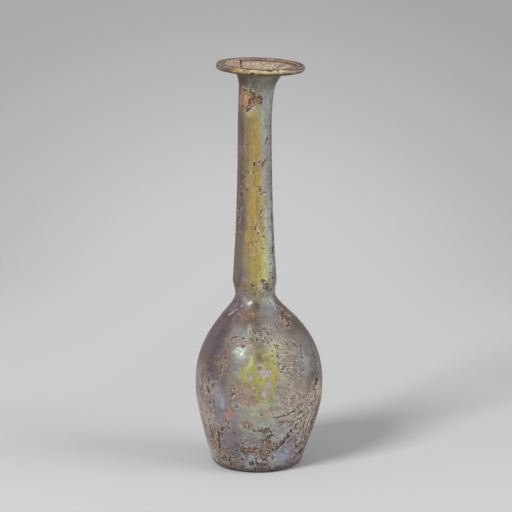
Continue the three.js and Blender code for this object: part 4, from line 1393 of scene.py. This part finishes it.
def use(tree, group, inputs):
    return add(tree, "ShaderNodeGroup", inputs, node_tree=group).outputs


NUMBER, VECTOR = "NodeSocketFloat", "NodeSocketVector"

# %% Clouding: soft mottling
clouding, given, result = effect(
    "clouding",
    [("Place", VECTOR), ("Per metre", NUMBER), ("Low", NUMBER), ("High", NUMBER)],
    [("Mask", NUMBER)],
)
swirling = {"Vector": given["Place"], "Scale": given["Per metre"]}
swirling.update({"Detail": 5.0, "Roughness": 0.62, "Distortion": 0.6})
swirl = add(clouding, "ShaderNodeTexNoise", swirling)
mask = span(clouding, swirl.outputs[0], given["Low"], given["High"])
clouding.links.new(mask, result["Mask"])


def clouded(tree, place, per_metre, low, high):
    return use(tree, clouding, {"Place": place, "Per metre": per_metre, "Low": low, "High": high})["Mask"]


print("built", clouding.name, "from", len(clouding.nodes), "nodes")

# %% Pitting: small dark pits, most of them small and a few large
SMALLEST_PIT, PIT_VARIETY = 0.12, 0.28
PIT_FLOOR_SHARE = 0.55

pitting, given, result = effect(
    "pitting", [("Place", VECTOR), ("Per metre", NUMBER), ("Share", NUMBER)], [("Pits", NUMBER)]
)
cells = {"Vector": given["Place"], "Scale": given["Per metre"], "Randomness": 1.0}
pit = add(pitting, "ShaderNodeTexVoronoi", cells)
chance = add(pitting, "ShaderNodeSeparateColor", {0: pit.outputs["Color"]})
chosen = calc(pitting, "LESS_THAN", chance.outputs[0], given["Share"])
size = calc(pitting, "MULTIPLY_ADD", chance.outputs[1], PIT_VARIETY, SMALLEST_PIT)
hole = span(pitting, pit.outputs["Distance"], size, times(pitting, size, PIT_FLOOR_SHARE))
pitting.links.new(times(pitting, hole, chosen), result["Pits"])


def pits_in(tree, place, per_metre, share):
    return use(tree, pitting, {"Place": place, "Per metre": per_metre, "Share": share})["Pits"]


print("built", pitting.name, "from", len(pitting.nodes), "nodes")

# %% Grain: a fine roughness
grain, given, result = effect("grain", [("Place", VECTOR), ("Per metre", NUMBER)], [("Height", NUMBER)])
fine = {"Vector": given["Place"], "Scale": given["Per metre"], "Detail": 2.0, "Roughness": 0.6}
grain.links.new(add(grain, "ShaderNodeTexNoise", fine).outputs[0], result["Height"])


def grit_of(tree, place, per_metre):
    return use(tree, grain, {"Place": place, "Per metre": per_metre})["Height"]


print("built", grain.name, "from", len(grain.nodes), "nodes")

# %% Terracing: the contour lines of broken layers
DARK_STEP = (0.34, 0.08)
LIGHT_STEP = (0.66, 0.92)

terracing, given, result = effect(
    "terracing",
    [("Place", VECTOR), ("Per metre", NUMBER), ("Layers", NUMBER)],
    [("Dark", NUMBER), ("Light", NUMBER)],
)
layered = {"Vector": given["Place"], "Scale": given["Per metre"]}
layered.update({"Detail": 4.0, "Roughness": 0.6, "Distortion": 0.4})
stack = add(terracing, "ShaderNodeTexNoise", layered)
step = calc(terracing, "FRACT", times(terracing, stack.outputs[0], given["Layers"]))
terracing.links.new(span(terracing, step, *DARK_STEP), result["Dark"])
terracing.links.new(span(terracing, step, *LIGHT_STEP), result["Light"])


def terraced(tree, place, per_metre, layers):
    return use(tree, terracing, {"Place": place, "Per metre": per_metre, "Layers": layers})


print("built", terracing.name, "from", len(terracing.nodes), "nodes")

# %% Start and complete a finish
def attribute(tree, name, output="Fac"):
    """What a piece's vertices keep under a name."""
    return add(tree, "ShaderNodeAttribute", attribute_name=name).outputs[output]


def new_finish(name):
    """A new material with its node tree, its shader and the place on the piece."""
    finish = bpy.data.materials.new(name)
    finish.use_nodes = True
    tree = finish.node_tree
    return finish, tree, tree.nodes["Principled BSDF"], add(tree, "ShaderNodeTexCoord").outputs["Object"]


def complete(tree, shader, colour, height, strength, depth):
    """Links a finish's colour and its bump, whose depth is in millimetres."""
    tree.links.new(colour, shader.inputs["Base Color"])
    bump = add(tree, "ShaderNodeBump", {"Height": height, "Strength": strength, "Distance": depth * MM})
    tree.links.new(bump.outputs[0], shader.inputs["Normal"])


# %% The film's upper layers
SOFT_MOTTLING = (0.87, 1.11)
CRISP_MOTTLING = (0.95, 1.05)
FLECKS = (("mint", 900.0, 0.3), ("rose", 1000.0, 0.4), ("plum", 1500.0, 0.5), ("clay", 1200.0, 0.3))
FLECK_RANGE = (0.52, 0.64)
WIDE_TERRACES, TIGHT_TERRACES = (300.0, 7.0), (640.0, 6.0)
TIGHT_SHARE = 0.8
GRIT_CONTRAST, LEAST_GRIT_CONTRAST = 1.1, 0.6
STEP_EDGE_SHARE, STEP_LINE_SHARE = 0.36, 0.85
SPECKLE_SHARE = 0.75


def film_terraces(tree, place, busy):
    """Dark lines and pale edges of two sizes of terrace, where the film is worn, and the finer dark ones."""
    wide, tight = terraced(tree, place, *WIDE_TERRACES), terraced(tree, place, *TIGHT_TERRACES)
    both = [
        times(tree, calc(tree, "MAXIMUM", wide[kind], times(tree, tight[kind], TIGHT_SHARE)), busy)
        for kind in ("Dark", "Light")
    ]
    return *both, tight["Dark"]


def upper_film(tree, stretched, soft, crisp, grit, busy, step_line, step_edge, speckle):
    """The stain with its painted light and shade, mottled, gritty, flecked and terraced."""
    colour = brighten(tree, attribute(tree, "stain_and_painted_light", "Color"), span(tree, soft, 0, 1, *SOFT_MOTTLING))
    colour = brighten(tree, colour, span(tree, crisp, 0, 1, *CRISP_MOTTLING))
    rubbed = calc(tree, "MULTIPLY_ADD", busy, GRIT_CONTRAST, LEAST_GRIT_CONTRAST)
    gritty = calc(tree, "MULTIPLY_ADD", calc(tree, "SUBTRACT", grit, 0.5), rubbed, 1.0)
    colour = brighten(tree, colour, gritty)
    for tint, per_metre, amount in FLECKS:
        fleck = clouded(tree, stretched, per_metre, *FLECK_RANGE)
        colour = tinted(tree, colour, tint, fleck, times(tree, busy, amount))
    colour = tinted(tree, colour, "chalk", step_edge, STEP_EDGE_SHARE)
    colour = tinted(tree, colour, "umber", step_line, STEP_LINE_SHARE)
    return tinted(tree, colour, "plum", speckle, times(tree, busy, SPECKLE_SHARE))


# %% The film's lower layers
UNDER_MOTTLING = (0.84, 1.1)
UNDER_LINE_SHARE, UNDER_SPECKLE_SHARE = 0.35, 0.5
LAYER_BORDER, LAYER_SHARE = (-0.03, 0.05), 0.85
# The dark lip round the thinned patches is partly painted shade at the step down.
LIP_OUTSIDE, LIP_INSIDE, LIP_SHARE = (-0.22, -0.03), (0.12, -0.02), 0.7


def lower_film(tree, colour, thinned, crisp, tight_line, speckle):
    """Lays the duller lower layers in where the upper ones are gone, with a dark lip round them that is
    partly painted shade.
    """
    layer = span(tree, thinned, *LAYER_BORDER)
    lower = brighten(tree, attribute(tree, "under", "Color"), span(tree, crisp, 0, 1, *UNDER_MOTTLING))
    lower = tinted(tree, lower, "brown", tight_line, UNDER_LINE_SHARE)
    lower = tinted(tree, lower, "brown", speckle, UNDER_SPECKLE_SHARE)
    colour = blend(tree, times(tree, layer, LAYER_SHARE), colour, lower)
    lip = times(tree, span(tree, thinned, *LIP_OUTSIDE), span(tree, thinned, *LIP_INSIDE))
    return tinted(tree, colour, "umber", times(tree, lip, crisp), LIP_SHARE), layer


# %% The film's holes, cracks and threads
BARE_WOBBLE_SHARE = 0.6
# The dark at the edges of holes is partly painted shade; the pale lines beside holes and lines are painted
# highlights, and the threads' pale tint is partly a painted highlight.
HOLE_EDGE_SHADE, HOLE_EDGE_SHADE_SHARE = (-0.2, -0.02), 0.7
LINE_EDGE, LINE_SHARE = (-0.1, 0.1), 0.75
HIGHLIGHT_BY_HOLE = ((-0.7, -0.45), (-0.2, -0.4))
HIGHLIGHT_BY_LINE = ((-0.5, -0.3), (-0.08, -0.25))
HIGHLIGHT_SHARE = 0.36
DEEP_PITS, DEEP_PIT_SHARE = (330.0, 0.08), 0.55
THREAD_EDGE, THREAD_SHARES = (-0.06, 0.1), (0.3, 0.65)


def broken_film(tree, colour, place, crisp, wobble):
    """Adds dark marks, cracks and pits, hole edges darkened partly as painted shade, pale lines of painted
    highlight beside holes and lines, and pale threads that are partly painted highlight.
    """
    bare = calc(tree, "ADD", attribute(tree, "bare"), times(tree, wobble, BARE_WOBBLE_SHARE))
    line = calc(tree, "MAXIMUM", attribute(tree, "marked"), attribute(tree, "cracked"))
    line = calc(tree, "ADD", line, wobble)
    beside = [
        times(tree, span(tree, depth, *outside), span(tree, depth, *inside))
        for depth, (outside, inside) in ((bare, HIGHLIGHT_BY_HOLE), (line, HIGHLIGHT_BY_LINE))
    ]
    pale = times(tree, calc(tree, "MAXIMUM", *beside), crisp)
    colour = tinted(tree, colour, "chalk", pale, HIGHLIGHT_SHARE)
    pits = times(tree, pits_in(tree, place, *DEEP_PITS), DEEP_PIT_SHARE)
    hole_edge_shade = times(tree, span(tree, bare, *HOLE_EDGE_SHADE), HOLE_EDGE_SHADE_SHARE)
    dark_line = times(tree, span(tree, line, *LINE_EDGE), LINE_SHARE)
    dark = calc(tree, "MAXIMUM", calc(tree, "MAXIMUM", hole_edge_shade, pits), dark_line)
    colour = tinted(tree, colour, "umber", dark)
    threaded = span(tree, calc(tree, "ADD", attribute(tree, "threaded"), wobble), *THREAD_EDGE)
    return tinted(tree, colour, "chalk", threaded, span(tree, crisp, 0, 1, *THREAD_SHARES)), dark


# %% The film's finish
SOFT_CLOUDS, CRISP_CLOUDS = (420.0, 0.3, 0.7), (1100.0, 0.38, 0.62)
FILM_GRAIN = 1250.0
SPECKLES = (950.0, 0.5)
WORN_SHARE = 0.8
GRIT_RANGE, BORDER_WOBBLE = (0.3, 0.7), 0.26
POLISH_SHARES = (0.1, 1.0)
FILM_ROUGHNESS, WORN_ROUGHNESS, POLISH_SMOOTHING = (0.5, 0.58), 0.08, 0.26
POLISH_METALLIC, FILM_METALLIC = 0.3, 0.05
FILM_SPECULAR = 0.3
DARK_SUNK, STEP_SUNK, LAYER_SUNK = 0.9, 0.8, 0.4


def film_finish(name, drawn, flat, crazed):
    """Satin film: its mottling is drawn upwards, its terraces are flattened, and all of it is so crazed."""
    finish, tree, shader, place = new_finish(name)
    stretched = add(tree, "ShaderNodeMapping", {"Vector": place, "Scale": (1, 1, 1 / drawn)}).outputs[0]
    flattened = add(tree, "ShaderNodeMapping", {"Vector": place, "Scale": (1, 1, flat)}).outputs[0]
    soft = clouded(tree, stretched, *SOFT_CLOUDS)
    crisp = clouded(tree, stretched, *CRISP_CLOUDS)
    grit = grit_of(tree, place, FILM_GRAIN)
    speckle = pits_in(tree, place, *SPECKLES)
    busy = calc(tree, "MULTIPLY_ADD", attribute(tree, "worn"), WORN_SHARE, crazed)
    wobble = span(tree, grit, *GRIT_RANGE, -BORDER_WOBBLE, BORDER_WOBBLE)
    thinned = calc(tree, "ADD", attribute(tree, "thinned"), wobble)

    step_line, step_edge, tight_line = film_terraces(tree, flattened, busy)
    colour = upper_film(tree, stretched, soft, crisp, grit, busy, step_line, step_edge, speckle)
    colour, layer = lower_film(tree, colour, thinned, crisp, tight_line, speckle)
    colour, dark = broken_film(tree, colour, place, crisp, wobble)

    unbroken = calc(tree, "SUBTRACT", 1.0, calc(tree, "MAXIMUM", dark, step_line))
    polish = times(tree, attribute(tree, "polish"), unbroken)
    polish = times(tree, polish, span(tree, crisp, 0, 1, *POLISH_SHARES))
    rough = calc(tree, "MULTIPLY_ADD", busy, WORN_ROUGHNESS, span(tree, soft, 0, 1, *FILM_ROUGHNESS))
    rough = calc(tree, "SUBTRACT", rough, times(tree, polish, POLISH_SMOOTHING))
    tree.links.new(rough, shader.inputs["Roughness"])
    metallic = calc(tree, "MULTIPLY_ADD", polish, POLISH_METALLIC, FILM_METALLIC)
    tree.links.new(metallic, shader.inputs["Metallic"])
    shader.inputs["Specular IOR Level"].default_value = FILM_SPECULAR
    height = grit
    for sunk, amount in ((dark, DARK_SUNK), (step_line, STEP_SUNK), (layer, LAYER_SUNK)):
        height = calc(tree, "SUBTRACT", height, times(tree, sunk, amount))
    complete(tree, shader, colour, height, strength=0.5, depth=0.25)
    return finish


# %% The glass's finish
GLASS_CLOUDS = (700.0, 0.42, 0.58)
# The chalky flecks are partly painted glints.
AMBER_FLECKS, CHALK_FLECKS_AND_GLINTS = (900.0, 0.52, 0.6), (1200.0, 0.54, 0.6)
GLASS_PITS = (900.0, 0.5)
PIT_SHARE = 0.8
GLASS_ROUGHNESS = (0.5, 0.34)
GLASS_GRAIN = 1400.0


def glass_finish(name, deep, warm, flecked):
    """Dull glass, pitted and mottled between a deep and a warm tint, with amber flecks and chalky flecks that
    are partly painted glints.
    """
    finish, tree, shader, place = new_finish(name)
    cloud = clouded(tree, place, *GLASS_CLOUDS)
    colour = blend(tree, cloud, rgba(deep), rgba(warm))
    colour = tinted(tree, colour, "amber", clouded(tree, place, *AMBER_FLECKS), flecked)
    colour = tinted(tree, colour, "chalk", clouded(tree, place, *CHALK_FLECKS_AND_GLINTS), flecked)
    pits = pits_in(tree, place, *GLASS_PITS)
    colour = tinted(tree, colour, "umber", pits, PIT_SHARE)
    tree.links.new(span(tree, cloud, 0, 1, *GLASS_ROUGHNESS), shader.inputs["Roughness"])
    height = calc(tree, "SUBTRACT", grit_of(tree, place, GLASS_GRAIN), pits)
    complete(tree, shader, colour, height, strength=0.4, depth=0.2)
    return finish


# %% The crust's finish
CRUST_CLOUDS = (360.0, 0.35, 0.68)
CRUST_TERRACES = (220.0, 7.0)
CRUST_PITS = (420.0, 0.16)
CRUST_GRAIN = 1200.0
CRUST_ROUGHNESS = 0.85
# The chalk on the ridges' crests is a painted highlight.
FURROWS, BOTTOMS, HIGHLIGHTED_CRESTS = (-0.1, -0.9), (-0.5, -0.85), (0.4, 0.9)
CREST_HIGHLIGHT_SHARES, SHADE_SHARES = (0.9, 0.3), (0.6, 0.95)
MARGIN_WOBBLE = (-0.2, 0.2)
PALE_MARGIN, DARK_MARGIN = (0.3, 0.6), (0.75, 1.0)
CRACK_BORDER = (0.25, 0.75)


def crust_finish():
    """Dry crust: biscuit and tan, with painted highlights on its crests, thin brown contour lines, a brown
    margin, painted shade at the front and a crack.
    """
    finish, tree, shader, place = new_finish("dry mouth crust")
    cloud = clouded(tree, place, *CRUST_CLOUDS)
    ridges = attribute(tree, "ridges")
    crest_highlight = times(tree, span(tree, ridges, *HIGHLIGHTED_CRESTS), span(tree, cloud, 0, 1, *CREST_HIGHLIGHT_SHARES))
    nested = times(tree, span(tree, ridges, *BOTTOMS), attribute(tree, "nested"))
    edged = calc(tree, "ADD", attribute(tree, "margin"), span(tree, cloud, 0, 1, *MARGIN_WOBBLE))
    shaded = span(tree, cloud, 0, 1, *SHADE_SHARES)
    pits = pits_in(tree, place, *CRUST_PITS)
    layers = (
        ("blush", span(tree, ridges, *FURROWS), 0.6),
        ("chalk", crest_highlight, 0.7),
        ("brown", nested, 0.8),
        ("brown", terraced(tree, place, *CRUST_TERRACES)["Dark"], 0.6),
        ("clay", span(tree, edged, *PALE_MARGIN), 0.85),
        ("brown", span(tree, edged, *DARK_MARGIN), 0.7),
        ("clay", attribute(tree, "filled"), 0.3),
        # painted shade at the crust's front edge
        ("brown", attribute(tree, "shaded"), shaded),
        ("umber", span(tree, attribute(tree, "cracked"), *CRACK_BORDER), None),
        ("umber", pits, PIT_SHARE),
    )
    colour = blend(tree, cloud, rgba("biscuit"), rgba("tan"))
    for tint, mask, share in layers:
        colour = tinted(tree, colour, tint, mask, share)
    shader.inputs["Roughness"].default_value = CRUST_ROUGHNESS
    height = calc(tree, "SUBTRACT", grit_of(tree, place, CRUST_GRAIN), pits)
    complete(tree, shader, colour, height, strength=0.5, depth=0.3)
    return finish


# %% Give every piece its finish
def dress(piece, finish):
    piece.data.materials.clear()
    piece.data.materials.append(finish)


brown_glass = glass_finish("etched brown glass", "bark", "rosewood", 0.5)
warm_glass = glass_finish("etched warm glass", "rosewood", "clay", 0.15)
amber_glass = glass_finish("etched amber glass", "brown", "clay", 0.15)
for node, piece in glass.items():
    dress(piece, {"neck": warm_glass, "mouth": amber_glass, "folded_rim": amber_glass}.get(node, brown_glass))
dress(film_bulb, film_finish("film on the bulb", drawn=1.0, flat=1.0, crazed=0.12))
drawn_film = film_finish("film on the neck", drawn=3.5, flat=0.6, crazed=0.1)
for piece in (film_neck, film_rim, film_lip):
    dress(piece, drawn_film)
dress(crust, crust_finish())
for piece in [*glass.values(), film_bulb, film_neck, film_rim, film_lip, crust]:
    print(f"{piece.name}: {piece.data.materials[0].name}")

# %% [markdown]
# The stage
#
# A pale floor without a wall, so that the bottle can be seen from every side. Its greys are painted light: a
# painted pool of light just behind the bottle, and painted falloff to a darker grey far off and at the right.
# The light is one large soft lamp from the upper left, as far as the sun, a wide weak one from the right,
# and the world's own grey.

# %% The floor
FLOOR_RADIUS = 6.0
FLOOR_SIDES = 96
FLOOR_CENTRE = 0.15
# Greys by distance: a painted pool of light behind the bottle that fades far off.
FLOOR_GLOW_STOPS = ((0, 201), (0.12, 202), (0.2, 203), (0.44, 198), (0.7, 186), (1.1, 174), (1.4, 167))
FLOOR_NARROWING = (-0.05, 0.35, 0.5, 5.0)
FLOOR_HALF_WIDTH = 0.4
FLOOR_PAINTED_FALLOFF = (1.04, 0.95)
FLOOR_FRONT = (0.08, -0.06)
FLOOR_NEAR_GLOW = 1.07
FLOOR_LIGHT = 1.1
FLOOR_ROUGHNESS = 0.9
FLOOR_SPECULAR = 0.1


def grey(level, light=1.0):
    """An opaque grey at a screen level out of 255, corrected for the light that falls on it."""
    return (*[float(linear(level)) / light] * 3, 1)


bpy.ops.object.select_all(action="DESELECT")
bpy.ops.mesh.primitive_circle_add(vertices=FLOOR_SIDES, radius=FLOOR_RADIUS, fill_type="NGON")
floor = bpy.context.object
floor.name = "pale_floor"
floor_finish, tree, shader, place = new_finish("pale floor")
x, y, _ = add(tree, "ShaderNodeSeparateXYZ", {0: place}).outputs
sideways = times(tree, x, span(tree, y, *FLOOR_NARROWING))
away = calc(tree, "SUBTRACT", y, FLOOR_CENTRE)
apart = calc(tree, "SQRT", calc(tree, "ADD", times(tree, sideways, sideways), times(tree, away, away)))
reach = FLOOR_GLOW_STOPS[-1][0]
ramp = add(tree, "ShaderNodeValToRGB", {0: calc(tree, "DIVIDE", apart, reach)})
stops = ramp.color_ramp.elements
while len(stops) < len(FLOOR_GLOW_STOPS):
    stops.new(0.5)
for stop, (distance, level) in zip(stops, FLOOR_GLOW_STOPS):
    stop.position = distance / reach
    stop.color = grey(level, FLOOR_LIGHT)
# Painted falloff of the light across the floor, and a painted glow near the front.
across = span(tree, x, -FLOOR_HALF_WIDTH, FLOOR_HALF_WIDTH, *FLOOR_PAINTED_FALLOFF)
shade = times(tree, across, span(tree, y, *FLOOR_FRONT, 1.0, FLOOR_NEAR_GLOW))
tree.links.new(brighten(tree, ramp.outputs[0], shade), shader.inputs["Base Color"])
shader.inputs["Roughness"].default_value = FLOOR_ROUGHNESS
shader.inputs["Specular IOR Level"].default_value = FLOOR_SPECULAR
dress(floor, floor_finish)
print(f"the floor reaches {FLOOR_RADIUS:.0f} m, in {len(stops)} greys")

# %% World and lamps
WORLD_LEVEL = 174
LAMPS = {"key_lamp": (-41, 35, 20, 2.75), "fill_lamp": (70, 22, 44, 1.6)}

world = bpy.data.worlds.new("grey studio")
world.use_nodes = True
world.node_tree.nodes["Background"].inputs[0].default_value = grey(WORLD_LEVEL)
bpy.context.scene.world = world
for name, (azimuth, height, spread, strength) in LAMPS.items():
    turn, rise = math.radians(azimuth), math.radians(height)
    towards = Vector((math.sin(turn) * math.cos(rise), -math.cos(turn) * math.cos(rise), math.sin(rise)))
    facing = towards.to_track_quat("Z", "Y").to_euler()
    bpy.ops.object.light_add(type="SUN", location=towards, rotation=facing)
    lamp = bpy.context.object
    lamp.name = name
    lamp.data.energy = strength
    lamp.data.angle = math.radians(spread)
    print(f"{name}: {height} degrees up, {spread} degrees wide")
bpy.context.scene.view_settings.view_transform = "Standard"

# %% Hide the parts the new pieces replace, and attach the pieces
for node, piece in glass.items():
    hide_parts(node)
skins = {
    film_bulb: "film_on_bulb",
    film_neck: "film_on_neck",
    film_rim: "film_under_rim",
    film_lip: "folded_rim",
}
for piece, node in skins.items():
    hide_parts(node)
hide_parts("crust_in_mouth")
for piece in [*glass.values(), *skins, crust]:
    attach(piece, "root")
    triangles = sum(len(face.vertices) - 2 for face in piece.data.polygons)
    print(f"{piece.name}: {triangles} triangles")
